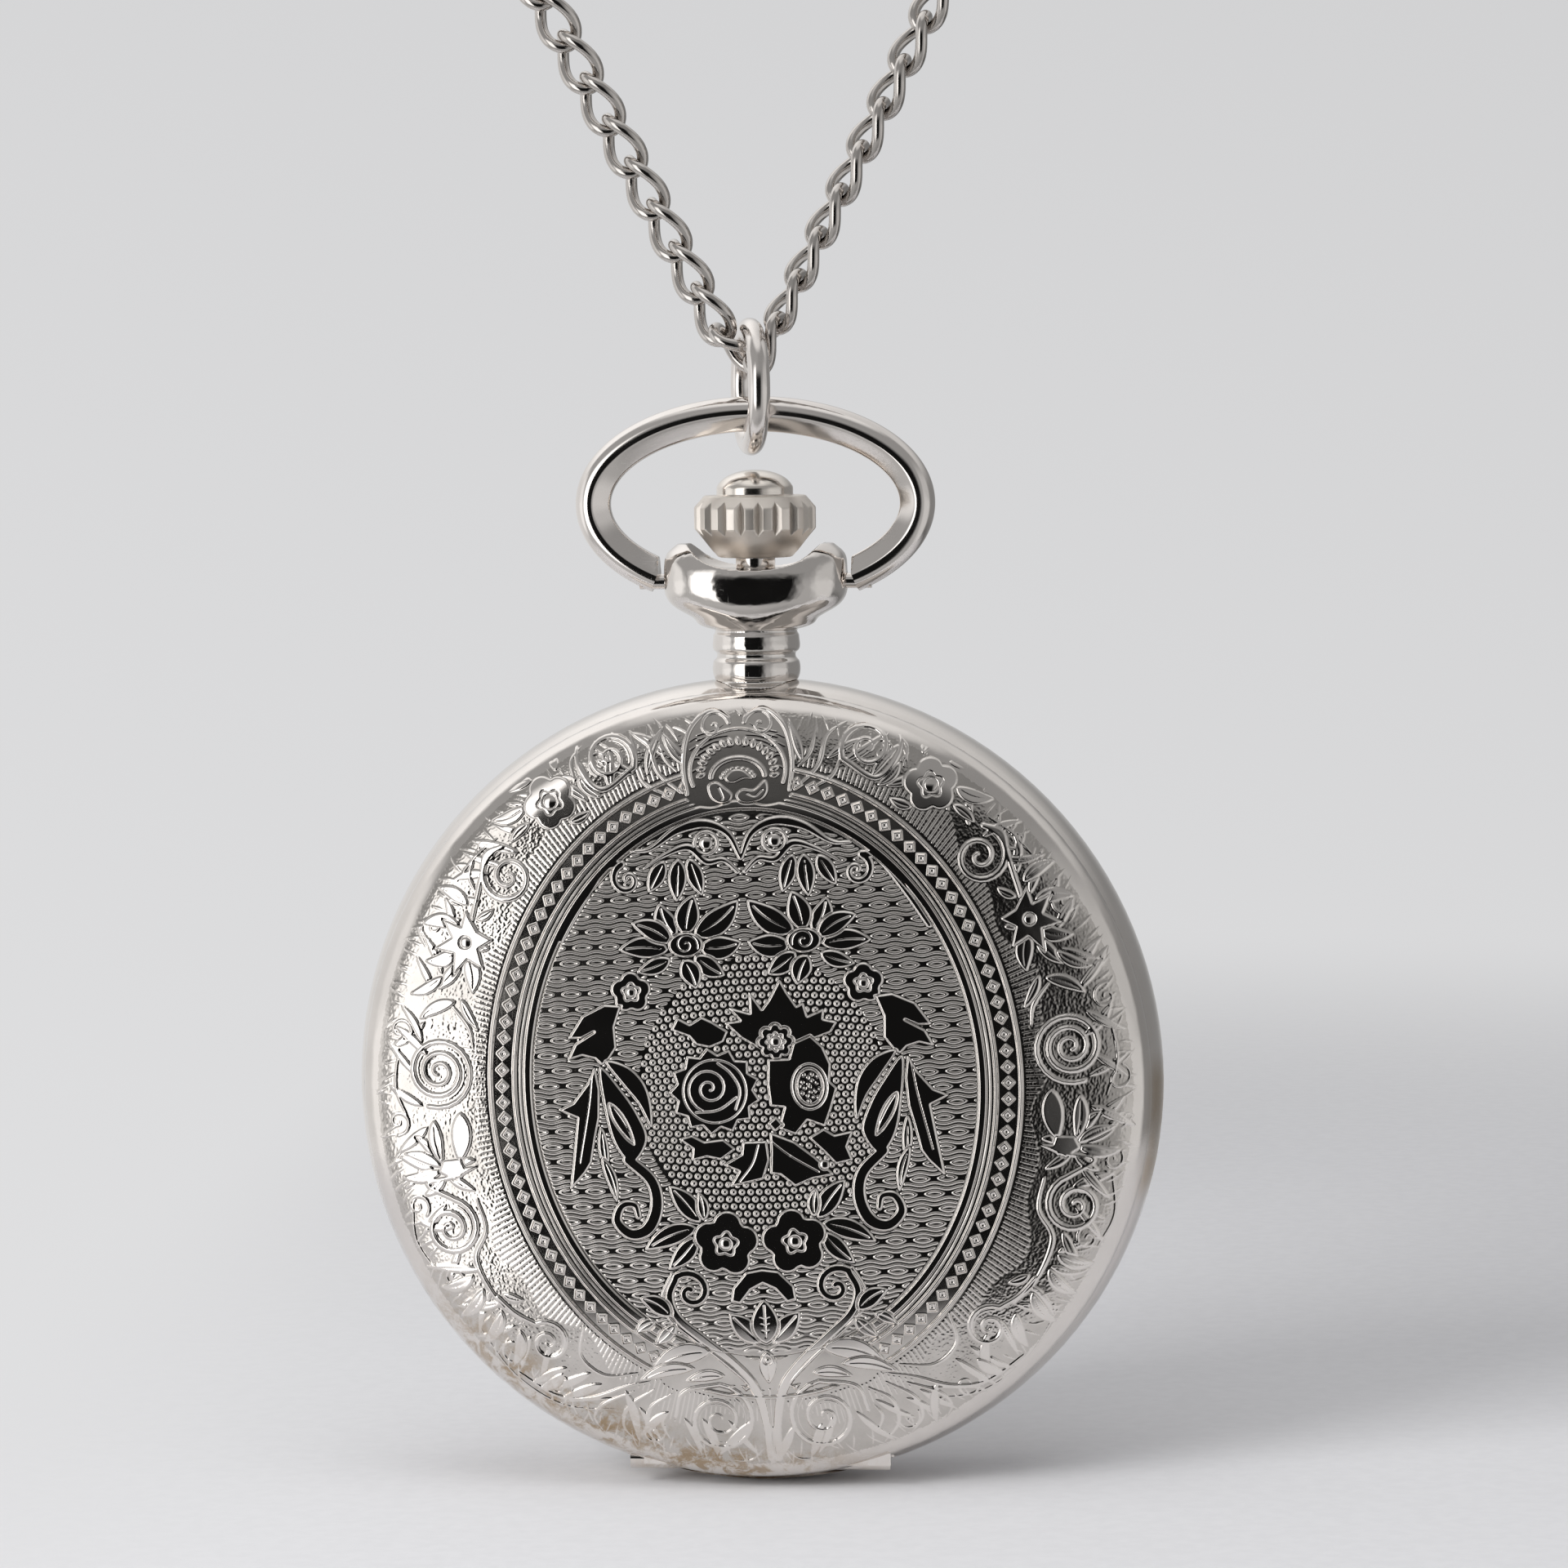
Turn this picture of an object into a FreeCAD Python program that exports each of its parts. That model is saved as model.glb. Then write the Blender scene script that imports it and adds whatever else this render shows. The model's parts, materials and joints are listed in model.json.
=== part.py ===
import FreeCAD, Part
import math
import os

# Full-hunter pocket watch with a quartz movement, bow, jump ring and curb chain (mm).
# Frame: origin on the flat rest face of the back cover, on the case axis.
# +X right (3 o'clock seen from the front), front cover faces -Y, +Z towards the crown.
# Depths are given as h, the distance in front of the back face (h = -y).
# A place "at" is (x, z) for parts along Y and (h, z) for parts along X.

V = FreeCAD.Vector
X, Y, Z = V(1, 0, 0), V(0, 1, 0), V(0, 0, 1)
CENTRE = (0.0, 0.0)

# Case
SEAM_R = 22.9                    # radius at the two case seams
BAND_H0, BAND_H1 = 3.66, 9.40
BORE_R = 20.95                   # main bore of the band
BACK_SEAM_H = BAND_H0 - 0.02
LID_H0 = BAND_H1 + 0.06          # lid seam face
STEM_H = 6.6                     # depth of the stem, pendant and bow plane
STEM_Y = -STEM_H

# Hinge
HINGE_H, HINGE_Z = 8.9, -22.0
HINGE = (HINGE_H, HINGE_Z)
KNUCKLE_R = 0.62
LID_KNUCKLE_X = 2.55             # half length of the lid's middle knuckle
KNUCKLE_END_X = 7.60             # outer end of the band's knuckles
TONGUE_W = 15.4
HINGE_PIN_R = 0.25

# Stem and crown
STEM_R = 0.50
SLEEVE_R, SLEEVE_BORE_R = 1.15, 0.55
CROWN_R = 3.53
CROWN_Z0 = 30.50
CROWN_FLUTES = 20

# Bow and jump ring
BOW_PIVOT = (STEM_H, 29.1)
BOW_PIN_R, BOW_PIN_END_X = 0.45, 6.75
BOW_HALF_W, BOW_MID_Z = 9.45, 33.60          # bow centre line
BOW_RISE, BOW_DROP = 5.18, 5.90              # its height above and below BOW_MID_Z
BOW_SWEEP = 148                              # degrees to each side of the top
BOW_WIRE = 2.05
BOW_END_X = 5.62
RING_R, RING_WIRE_R = 3.35, 0.63
RING_CENTRE = (-0.20, STEM_Y, 40.35)
RING_TURN = 14.7                             # degrees about Z

# Dial and main plate
PLATE_R, PLATE_H0, PLATE_H1 = 14.0, 7.0, 7.6
DIAL_R, DIAL_H0, DIAL_H1 = 20.0, 8.30, 8.70
DIAL_FEET = ((-12.6, 0), (12.6, 0))


# ---------------------------------------------------------------- helpers
def rod_x(radius, x0, x1, at):
    return Part.makeCylinder(radius, x1 - x0, V(x0, -at[0], at[1]), X)


def rod_y(radius, h0, h1, at=CENTRE):
    return Part.makeCylinder(radius, h1 - h0, V(at[0], -h1, at[1]), Y)


def rod_z(radius, z0, z1):
    """Cylinder on the stem axis."""
    return Part.makeCylinder(radius, z1 - z0, V(0, STEM_Y, z0), Z)


def box(x0, x1, h0, h1, z0, z1):
    return Part.makeBox(x1 - x0, h1 - h0, z1 - z0, V(x0, -h1, z0))


def ring_y(inner_r, outer_r, h0, h1):
    return rod_y(outer_r, h0, h1).cut(rod_y(inner_r, h0 - 1, h1 + 1))


def both_sides(inner, outer):
    """The x span inner..outer, on the left and on the right."""
    return ((-outer, -inner), (inner, outer))


def polar(radius, angle, at=CENTRE):
    return (at[0] + radius * math.cos(angle), at[1] + radius * math.sin(angle))


def profile_face(profile, place):
    """Face from a closed profile: an item is a corner, or a list of points on a smooth curve."""
    runs = [item if isinstance(item, list) else [item] for item in profile]
    edges = []
    for run, following in zip(runs, runs[1:] + runs[:1]):
        if len(run) > 1:
            curve = Part.BSplineCurve()
            curve.interpolate([place(*point) for point in run])
            edges.append(curve.toShape())
        if run[-1] != following[0]:
            edges.append(Part.LineSegment(place(*run[-1]), place(*following[0])).toShape())
    return Part.Face(Part.Wire(Part.__sortEdges__(edges)))


def lathe_y(profile):
    """Turn a profile of (radius, h) about the case axis."""
    return profile_face(profile, lambda r, h: V(r, -h, 0)).revolve(V(0, 0, 0), Y, 360)


def lathe_z(profile):
    """Turn a profile of (radius, z) about the stem axis."""
    return profile_face(profile, lambda r, z: V(r, STEM_Y, z)).revolve(V(0, STEM_Y, 0), Z, 360)


def plate(outline, h0, h1):
    points = [V(x, -h0, z) for x, z in outline]
    return Part.Face(Part.makePolygon(points + points[:1])).extrude(V(0, h0 - h1, 0))


def closed_curve(points):
    curve = Part.BSplineCurve()
    curve.interpolate(points, PeriodicFlag=True)
    return Part.Wire([curve.toShape()])


def superellipse(a, b, exponent, count):
    points = []
    for i in range(count):
        angle = 2 * math.pi * i / count
        c, s = math.cos(angle), math.sin(angle)
        points.append((a * math.copysign(abs(c) ** (2 / exponent), c),
                       b * math.copysign(abs(s) ** (2 / exponent), s)))
    return points


def arc_strip(r0, r1, start, end, h0, h1):
    """Strip between two radii; start and end in degrees from +X towards +Z."""
    steps = 14
    angles = [math.radians(start + (end - start) * i / steps) for i in range(steps + 1)]
    outline = [polar(r0, a) for a in angles] + [polar(r1, a) for a in reversed(angles)]
    return plate(outline, h0, h1)


def drill(shape, radius, h0, h1, places):
    for at in places:
        shape = shape.cut(rod_y(radius, h0, h1, at))
    return shape


def single_solid(shape):
    if shape.ShapeType in ("Compound", "CompSolid") and len(shape.Solids) == 1:
        return shape.Solids[0]
    return shape


def screw(at, head, shank, slot_h, slot_half=0.09):
    """Slotted screw; head and shank are (radius, h0, h1), slot_h is the slot floor."""
    x, z = at
    slot = box(x - 0.8, x + 0.8, head[1] - 0.1, slot_h, z - slot_half, z + slot_half)
    return single_solid(rod_y(*head, at).fuse(rod_y(*shank, at)).cut(slot))


def save(name, shape):
    shape = single_solid(shape)
    # Merging split faces can fail or lose a solid; the unmerged shape is then written.
    try:
        merged = shape.removeSplitter()
        if merged.isValid() and len(merged.Solids) == len(shape.Solids):
            shape = single_solid(merged)
    except Exception:
        pass
    shape.exportStep("parts/%s.step" % name)


# ---------------------------------------------------------------- case band
# (radius, h) of the band's outside, back seam to front seam
BAND_OUTSIDE = [(SEAM_R + 0.05, BAND_H0), (23.30, 4.75), (23.50, 6.53), (23.30, 8.31),
                (SEAM_R, BAND_H1)]


def band_blank():
    return lathe_y([BAND_OUTSIDE, (0, BAND_H1), (0, BAND_H0)])


def hook_slot():
    """Slot for the hook of the lid catch."""
    return box(-1.85, 1.85, 7.75, 12, 20.30, 21.98)


def case_band():
    blank = band_blank()
    bore = rod_y(BORE_R, 5.30, 8.75).fuse(rod_y(21.55, BAND_H0 - 1, 5.30))
    bore = bore.fuse(rod_y(19.50, 8.0, 12)).fuse(rod_y(21.10, 9.15, 12))
    band = blank.cut(bore)
    band = band.cut(ring_y(21.98, 22.50, BAND_H0 - 1, BAND_H0 + 0.30))    # gasket groove
    band = band.cut(rod_z(1.60, 18, 26))                                  # pendant tube hole
    band = band.cut(hook_slot())
    # room for the hinge
    end_x = TONGUE_W / 2 + 0.08
    recess = rod_x(1.70, -end_x, end_x, HINGE).common(box(-9, 9, 4, 14, -26, HINGE_Z))
    band = band.cut(recess).cut(rod_x(KNUCKLE_R + 0.10, -end_x, end_x, HINGE))
    # two outer knuckles on webs
    for x0, x1 in both_sides(LID_KNUCKLE_X + 0.10, KNUCKLE_END_X):
        web = box(x0, x1, HINGE_H - 1.75, HINGE_H, HINGE_Z, HINGE_Z + KNUCKLE_R)
        band = band.fuse(rod_x(KNUCKLE_R, x0, x1, HINGE)).fuse(web.common(blank))
    return band.cut(rod_x(HINGE_PIN_R, -9.0, 9.0, HINGE))


# ---------------------------------------------------------------- back cover and gasket
# (radius, h), centre outwards
BACK_OUTSIDE = [(13.0, 0.0), (15.5, 0.16), (18.6, 0.75), (20.9, 1.68), (22.3, 2.75),
                (SEAM_R, BACK_SEAM_H)]
# (radius, h), rim inwards
BACK_INSIDE = [(20.9, 2.95), (20.1, 2.25), (18.1, 1.42), (15.2, 0.85), (12.8, 0.70)]
BACK_RIM_R, BACK_RIM_H = 21.50, 4.85         # snap rim inside the band


def back_cover():
    cover = lathe_y([(0, 0), BACK_OUTSIDE, (BACK_RIM_R, BACK_SEAM_H), (BACK_RIM_R, BACK_RIM_H),
                     (20.90, BACK_RIM_H), BACK_INSIDE, (0, 0.70)])
    return cover.cut(box(-1.2, 1.2, 3.3, 3.7, -23.2, -22.2))       # case-knife notch


def back_gasket():
    return ring_y(22.02, 22.46, BAND_H0, BAND_H0 + 0.27)


# ---------------------------------------------------------------- front cover
# (radius, h), rim inwards
LID_OUTSIDE = [(SEAM_R, 9.75), (22.62, 10.35), (21.95, 10.98), (19.5, 11.83), (16.0, 12.55),
               (11.0, 13.07), (5.5, 13.33), (0.0, 13.40)]
# (radius, h), centre outwards
LID_INSIDE = [(0.0, 12.76), (5.5, 12.68), (10.9, 12.43), (15.8, 11.92), (19.2, 11.20),
              (21.40, 10.45), (22.00, 10.05), (22.25, 9.70)]


def front_cover():
    lid = lathe_y([(SEAM_R, LID_H0), LID_OUTSIDE, LID_INSIDE, (22.25, LID_H0)])
    # tongue over the hinge, with a straight lower edge; its left end stops 1 mm short
    tongue = box(1.0 - TONGUE_W / 2, TONGUE_W / 2, HINGE_H + 0.74, HINGE_H + 1.32,
                 HINGE_Z - 0.12, HINGE_Z + 2.08)
    lid = lid.fuse(tongue.cut(rod_y(21.6, 5, 14)))
    # middle knuckle on its web
    lid = lid.fuse(rod_x(KNUCKLE_R, -LID_KNUCKLE_X, LID_KNUCKLE_X, HINGE))
    lid = lid.fuse(box(-LID_KNUCKLE_X, LID_KNUCKLE_X, HINGE_H, HINGE_H + 1.2,
                       HINGE_Z - 0.2, HINGE_Z + 0.25))
    # clear the band's knuckles
    for x0, x1 in both_sides(LID_KNUCKLE_X, KNUCKLE_END_X + 0.15):
        lid = lid.cut(rod_x(KNUCKLE_R + 0.09, x0, x1, HINGE))
    lid = lid.cut(rod_x(HINGE_PIN_R + 0.03, -2.6, 2.6, HINGE))
    # lip at the catch
    return lid.fuse(box(-1.5, 1.5, 9.50, 9.80, 21.50, 22.6).common(rod_y(22.4, 9, 10)))


def cover_hinge_pin():
    return rod_x(HINGE_PIN_R, -KNUCKLE_END_X, KNUCKLE_END_X, HINGE)


# ---------------------------------------------------------------- lift spring and lid catch
CATCH_H0, CATCH_H1 = 5.3, 8.15
CATCH_PIVOT = polar(20.40, math.radians(128))


def lift_spring():
    """Leaf inside the band at the hinge that throws the lid open."""
    return arc_strip(20.40, 20.80, -128, -52, 5.6, 8.1)


def lid_catch():
    """Spring lever with the hook, pressed by the push sleeve."""
    catch = arc_strip(20.15, 20.65, 130.5, 85.8, CATCH_H0, CATCH_H1)
    catch = catch.fuse(box(-1.4, 1.4, 7.85, CATCH_H1, 20.30, 21.45))
    catch = catch.fuse(box(-1.4, 1.4, 7.85, 10.10, 21.05, 21.45))
    catch = catch.cut(rod_z(0.95, 19.0, 22.0))
    catch = catch.fuse(rod_y(0.55, CATCH_H0, CATCH_H1, CATCH_PIVOT))
    return catch.cut(rod_y(0.28, 5.0, 8.6, CATCH_PIVOT))


def catch_pivot_pin():
    return rod_y(0.25, 5.2, 8.74, CATCH_PIVOT).fuse(rod_y(0.45, 4.9, 5.2, CATCH_PIVOT))


# ---------------------------------------------------------------- crystal and bezel
CRYSTAL_EDGE = (19.0, 9.42)                  # back corner of the rim: radius, h
CRYSTAL_BACK_H = 10.15
# (radius, h), rim inwards
CRYSTAL_FRONT = [(19.0, 10.30), (18.6, 10.62), (14.0, 10.88), (8.0, 11.05), (0.0, 11.12)]


def crystal_bezel():
    return ring_y(19.32, 20.25, 9.17, 10.25).fuse(ring_y(18.3, 20.25, 9.17, 9.40))


def crystal_gasket():
    return ring_y(19.03, 19.30, 9.42, 10.15)


def crystal():
    return lathe_y([(0, CRYSTAL_BACK_H), (17.6, CRYSTAL_BACK_H), (18.1, 9.42), CRYSTAL_EDGE,
                    CRYSTAL_FRONT])


# ---------------------------------------------------------------- dial and hands
# degrees clockwise seen from the front, 0 at 12 o'clock
HOUR_ANGLE, MINUTE_ANGLE, SECOND_ANGLE = 305.0, 60.0, 0.0
HOUR_PIPE_R, CANNON_R, SECOND_ARBOR_R = 0.75, 0.46, 0.20
SECOND_TAIL = 4.2


def dial():
    disc = rod_y(DIAL_R, DIAL_H0, DIAL_H1).cut(rod_y(1.0, 8, 9))
    for foot in DIAL_FEET:
        disc = disc.fuse(rod_y(0.40, 7.2, DIAL_H0, foot))
    return disc


def clockwise(points, degrees):
    c, s = math.cos(math.radians(degrees)), math.sin(math.radians(degrees))
    return [(x * c + z * s, -x * s + z * c) for x, z in points]


def hand(length, half_w, tail, angle, h0, h1, eye_r):
    """Pointed hand, widest at an eye 68 % of the way to the tip."""
    right = [(half_w * 0.55, -tail), (half_w * 0.38, 0), (half_w * 0.34, length * 0.52),
             (half_w, length * 0.68), (half_w * 0.42, length * 0.86), (0.07, length)]
    left = [(-x, z) for x, z in reversed(right)]
    eye = clockwise([(0, length * 0.68)], angle)[0]
    blade = plate(clockwise(right + left, angle), h0, h1)
    return blade.cut(rod_y(eye_r, h0 - 1, h1 + 1, eye))


def hour_hand():
    blade = hand(9.6, 0.85, 2.2, HOUR_ANGLE, 9.02, 9.18, eye_r=0.42)
    return blade.fuse(rod_y(1.05, 8.95, 9.20)).cut(rod_y(HOUR_PIPE_R, 8.5, 9.6))


def minute_hand():
    blade = hand(14.2, 0.70, 2.6, MINUTE_ANGLE, 9.44, 9.60, eye_r=0.34)
    return blade.fuse(rod_y(0.80, 9.36, 9.62)).cut(rod_y(CANNON_R, 9, 10))


def second_hand():
    h0, h1 = 9.78, 9.88
    outline = [(-0.16, -SECOND_TAIL), (0.16, -SECOND_TAIL), (0.05, 15.2), (-0.05, 15.2)]
    tail = clockwise([(0, -SECOND_TAIL)], SECOND_ANGLE)[0]
    blade = plate(clockwise(outline, SECOND_ANGLE), h0, h1).fuse(rod_y(0.62, h0, h1, tail))
    return blade.fuse(rod_y(0.42, 9.72, 9.95)).cut(rod_y(SECOND_ARBOR_R, 9, 9.90))


# ---------------------------------------------------------------- gear layout
def pitch_distance(teeth_a, teeth_b, module):
    return (teeth_a + teeth_b) / 2 * module


def mesh_phase(at_a, teeth_a, phase_a, at_b, teeth_b):
    """Phase of wheel b so that its gap meets a tooth of wheel a on the line of centres."""
    line = math.atan2(at_b[1] - at_a[1], at_b[0] - at_a[0])
    offset = (line - phase_a) % (2 * math.pi / teeth_a)
    return line + math.pi + (offset * teeth_a - math.pi) / teeth_b


# tooth counts; the seconds, third, step and rotor pinions all have PINION leaves
PINION = 8
SECONDS_TEETH, THIRD_TEETH, CENTRE_TEETH, STEP_TEETH = 40, 64, 60, 48
CANNON_TEETH, MINUTE_TEETH, MINUTE_PINION, HOUR_TEETH, SETTING_TEETH = 12, 36, 10, 40, 20

# gear modules, each named after the wheel it drives or is cut on
THIRD_DISTANCE = 4.08
THIRD_MODULE = THIRD_DISTANCE / pitch_distance(THIRD_TEETH, PINION, 1)
CENTRE_MODULE = THIRD_DISTANCE / pitch_distance(CENTRE_TEETH, PINION, 1)
SECONDS_MODULE, STEP_MODULE, MINUTE_MODULE, HOUR_MODULE = 0.175, 0.12, 0.125, 0.12

# wheel centres
THIRD_AT = polar(THIRD_DISTANCE, math.radians(200))
STEP_AT = polar(pitch_distance(SECONDS_TEETH, PINION, SECONDS_MODULE), math.radians(-50))
ROTOR_AT = polar(pitch_distance(STEP_TEETH, PINION, STEP_MODULE), math.radians(-20), STEP_AT)
MINUTE_AT = (0.0, pitch_distance(CANNON_TEETH, MINUTE_TEETH, MINUTE_MODULE))
SETTING_AT = (0.0, MINUTE_AT[1] + pitch_distance(MINUTE_TEETH, SETTING_TEETH, MINUTE_MODULE))

# phases: angle of one tooth centre, radians from +X towards +Z
SECONDS_PHASE, SECONDS_PINION_PHASE = math.radians(90), math.radians(45)
CANNON_PHASE = math.radians(90)
THIRD_PHASE = mesh_phase(CENTRE, PINION, SECONDS_PINION_PHASE, THIRD_AT, THIRD_TEETH)
THIRD_PINION_PHASE = THIRD_PHASE + 0.2
CENTRE_PHASE = mesh_phase(THIRD_AT, PINION, THIRD_PINION_PHASE, CENTRE, CENTRE_TEETH)
STEP_PINION_PHASE = mesh_phase(CENTRE, SECONDS_TEETH, SECONDS_PHASE, STEP_AT, PINION)
STEP_PHASE = 0.3
ROTOR_PHASE = mesh_phase(STEP_AT, STEP_TEETH, STEP_PHASE, ROTOR_AT, PINION)
MINUTE_PHASE = mesh_phase(CENTRE, CANNON_TEETH, CANNON_PHASE, MINUTE_AT, MINUTE_TEETH)
MINUTE_PINION_PHASE = MINUTE_PHASE + 0.1
HOUR_PHASE = mesh_phase(MINUTE_AT, MINUTE_PINION, MINUTE_PINION_PHASE, CENTRE, HOUR_TEETH)
SETTING_PHASE = mesh_phase(MINUTE_AT, MINUTE_TEETH, MINUTE_PHASE, SETTING_AT, SETTING_TEETH)


def gear(teeth, module, h0, h1, at, phase, arms=0):
    pitch_r = teeth * module / 2.0
    tip_r, root_r = pitch_r + 0.85 * module, pitch_r - 1.15 * module
    # (share of the tooth pitch from the tooth centre, radius)
    tooth = ((-0.34, root_r), (-0.215, pitch_r), (-0.10, tip_r),
             (0.10, tip_r), (0.215, pitch_r), (0.34, root_r))
    pitch = 2 * math.pi / teeth
    wheel = plate([polar(r, phase + (k + share) * pitch, at)
                   for k in range(teeth) for share, r in tooth], h0, h1)
    # windows between the arms
    hub_r = max(0.16 * pitch_r, 0.55)
    rim_r = root_r - max(0.10 * pitch_r, 0.25)
    steps = 6
    for k in range(arms):
        span = 2 * math.pi / arms
        sides = []
        for r, gap in ((hub_r, 0.11 * pitch_r / hub_r), (rim_r, 0.07 * pitch_r / rim_r)):
            start = phase + span * k + gap
            sides.append([polar(r, start + (span - 2 * gap) * i / steps, at)
                          for i in range(steps + 1)])
        wheel = wheel.cut(plate(sides[0] + sides[1][::-1], h0 - 0.1, h1 + 0.1))
    return wheel


# ---------------------------------------------------------------- movement frame
PIVOT_HOLE_R = 0.19
PILLARS = [(-8.6, -1.4), (2.9, 4.4), (9.3, -3.2), (0.6, -7.25)]
CORE_H, CORE_Z = 5.58, -9.3                  # axis of the drive coil
CORE_POSTS = [(-3.8, CORE_Z), (7.6, CORE_Z)]
LEVER_AT = (3.4, 9.6)
BRIDGE_H0, BRIDGE_H1 = 4.5, 4.95
# (x, z) of points on the smooth bridge outline
BRIDGE_OUTLINE = [(-9.9, -1.3), (-8.2, 0.6), (-3.2, 1.9), (0.0, 3.4), (2.6, 5.7), (4.3, 4.3),
                  (3.6, 0.6), (6.4, -1.6), (10.2, -1.9), (10.5, -4.4), (6.6, -5.9),
                  (1.7, -8.1), (-0.6, -8.1), (-3.4, -4.6), (-8.6, -3.2)]


def movement_ring():
    ring = ring_y(PLATE_R + 0.06, 19.60, 3.9, 8.22)
    return ring.cut(box(-14, 14, 3, 9, 18.7, 20.5)).cut(rod_z(1.05, 13.0, 20))


def main_plate():
    base = rod_y(PLATE_R, PLATE_H0, PLATE_H1).cut(rod_y(0.50, 6, 9))
    base = drill(base, PIVOT_HOLE_R, 6, 7.40, (THIRD_AT, STEP_AT, ROTOR_AT))
    base = base.cut(box(-1.25, 1.25, 6, 9, 3.50, 6.12))            # window at the stem pinion
    base = base.cut(box(-0.75, 0.75, 6, 7.22, 4.0, 15))            # groove for the stem
    base = drill(base, 0.42, 6, 9, DIAL_FEET)
    for at in PILLARS:
        base = base.fuse(rod_y(0.75, BRIDGE_H1, PLATE_H0 + 0.1, at))
        base = base.cut(rod_y(0.35, 4.5, 6.2, at))
    # posts: radius, h0, h1, place
    posts = [(0.25, PLATE_H1 - 0.1, 8.22, MINUTE_AT), (0.25, PLATE_H1 - 0.1, 8.12, SETTING_AT)]
    posts += [(0.70, 6.32, PLATE_H0 + 0.1, at) for at in CORE_POSTS]
    posts.append((0.30, 5.80, PLATE_H0 + 0.1, LEVER_AT))
    for post in posts:
        base = base.fuse(rod_y(*post))
    return base


def train_bridge():
    outline = closed_curve([V(x, -BRIDGE_H0, z) for x, z in BRIDGE_OUTLINE])
    bridge = Part.Face(outline).extrude(V(0, BRIDGE_H0 - BRIDGE_H1, 0))
    bridge = drill(bridge, PIVOT_HOLE_R, 4, 5.5, (CENTRE, THIRD_AT, STEP_AT, ROTOR_AT))
    return drill(bridge, 0.40, 4, 5.5, PILLARS)


def bridge_screws():
    return Part.makeCompound([screw(at, (0.72, 4.18, 4.48), (0.35, 4.4, 6.1), slot_h=4.28)
                              for at in PILLARS])


# ---------------------------------------------------------------- wheels
ARBOR_R = 0.16
ARBOR_H0, ARBOR_H1 = 4.55, 7.35


def arbor(at):
    return rod_y(ARBOR_R, ARBOR_H0, ARBOR_H1, at)


def seconds_wheel():
    wheel = gear(SECONDS_TEETH, SECONDS_MODULE, 5.75, 6.00, CENTRE, SECONDS_PHASE, arms=4)
    wheel = wheel.fuse(gear(PINION, THIRD_MODULE, 5.15, 5.80, CENTRE, SECONDS_PINION_PHASE))
    return wheel.fuse(rod_y(ARBOR_R, ARBOR_H0, 5.2)).fuse(rod_y(SECOND_ARBOR_R, 5.9, 9.90))


def third_wheel():
    wheel = gear(THIRD_TEETH, THIRD_MODULE, 5.30, 5.55, THIRD_AT, THIRD_PHASE, arms=4)
    wheel = wheel.fuse(gear(PINION, CENTRE_MODULE, 6.08, 6.60, THIRD_AT, THIRD_PINION_PHASE))
    return wheel.fuse(arbor(THIRD_AT)).fuse(rod_y(0.30, 5.5, 6.1, THIRD_AT))


def centre_wheel():
    wheel = gear(CENTRE_TEETH, CENTRE_MODULE, 6.20, 6.45, CENTRE, CENTRE_PHASE, arms=4)
    wheel = wheel.fuse(rod_y(CANNON_R, 6.20, 9.58))
    wheel = wheel.fuse(gear(CANNON_TEETH, MINUTE_MODULE, 7.66, 7.92, CENTRE, CANNON_PHASE))
    return wheel.cut(rod_y(0.245, 6, 10))


def step_wheel():
    wheel = gear(PINION, SECONDS_MODULE, 5.68, 6.08, STEP_AT, STEP_PINION_PHASE)
    wheel = wheel.fuse(gear(STEP_TEETH, STEP_MODULE, 6.55, 6.80, STEP_AT, STEP_PHASE, arms=4))
    return wheel.fuse(arbor(STEP_AT)).fuse(rod_y(0.30, 6.0, 6.6, STEP_AT))


def rotor_arbor():
    pinion = gear(PINION, STEP_MODULE, 6.50, 6.88, ROTOR_AT, ROTOR_PHASE)
    return arbor(ROTOR_AT).fuse(pinion)


def rotor_magnet():
    return rod_y(0.90, 5.55, 6.32, ROTOR_AT).cut(rod_y(ARBOR_R, 5, 7, ROTOR_AT))


def minute_wheel():
    wheel = gear(MINUTE_TEETH, MINUTE_MODULE, 7.68, 7.88, MINUTE_AT, MINUTE_PHASE, arms=4)
    pinion = gear(MINUTE_PINION, HOUR_MODULE, 7.86, 8.20, MINUTE_AT, MINUTE_PINION_PHASE)
    return wheel.fuse(pinion).cut(rod_y(0.28, 7, 9, MINUTE_AT))


def hour_wheel():
    wheel = gear(HOUR_TEETH, HOUR_MODULE, 7.98, 8.18, CENTRE, HOUR_PHASE)
    return wheel.fuse(rod_y(HOUR_PIPE_R, 8.0, 9.18)).cut(rod_y(0.50, 7, 10))


def setting_wheel():
    wheel = gear(SETTING_TEETH, MINUTE_MODULE, 7.68, 7.88, SETTING_AT, SETTING_PHASE)
    return wheel.cut(rod_y(0.28, 7, 9, SETTING_AT))


# ---------------------------------------------------------------- drive
# (x, z) corners
STATOR_OUTLINE = [(-4.6, -10.1), (-3.1, -10.1), (-3.1, -6.6), (-0.9, -6.2), (3.4, -6.5),
                  (4.4, -7.4), (7.0, -7.6), (7.0, -10.1), (8.4, -10.1), (8.4, -3.6),
                  (7.6, -2.4), (6.0, -2.1), (4.2, -2.9), (3.8, -4.4), (3.4, -5.3), (-4.6, -5.0)]


def stator():
    sheet = plate(STATOR_OUTLINE, 5.72, 6.10)
    # clearance round the rotor, the lowest pillar, the seconds wheel and the step pinion
    for radius, at in ((1.12, ROTOR_AT), (0.95, PILLARS[3]), (4.25, CENTRE), (1.15, STEP_AT)):
        sheet = sheet.cut(rod_y(radius, 5, 7, at))
    return drill(sheet, 0.36, 5, 7, CORE_POSTS)


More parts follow.
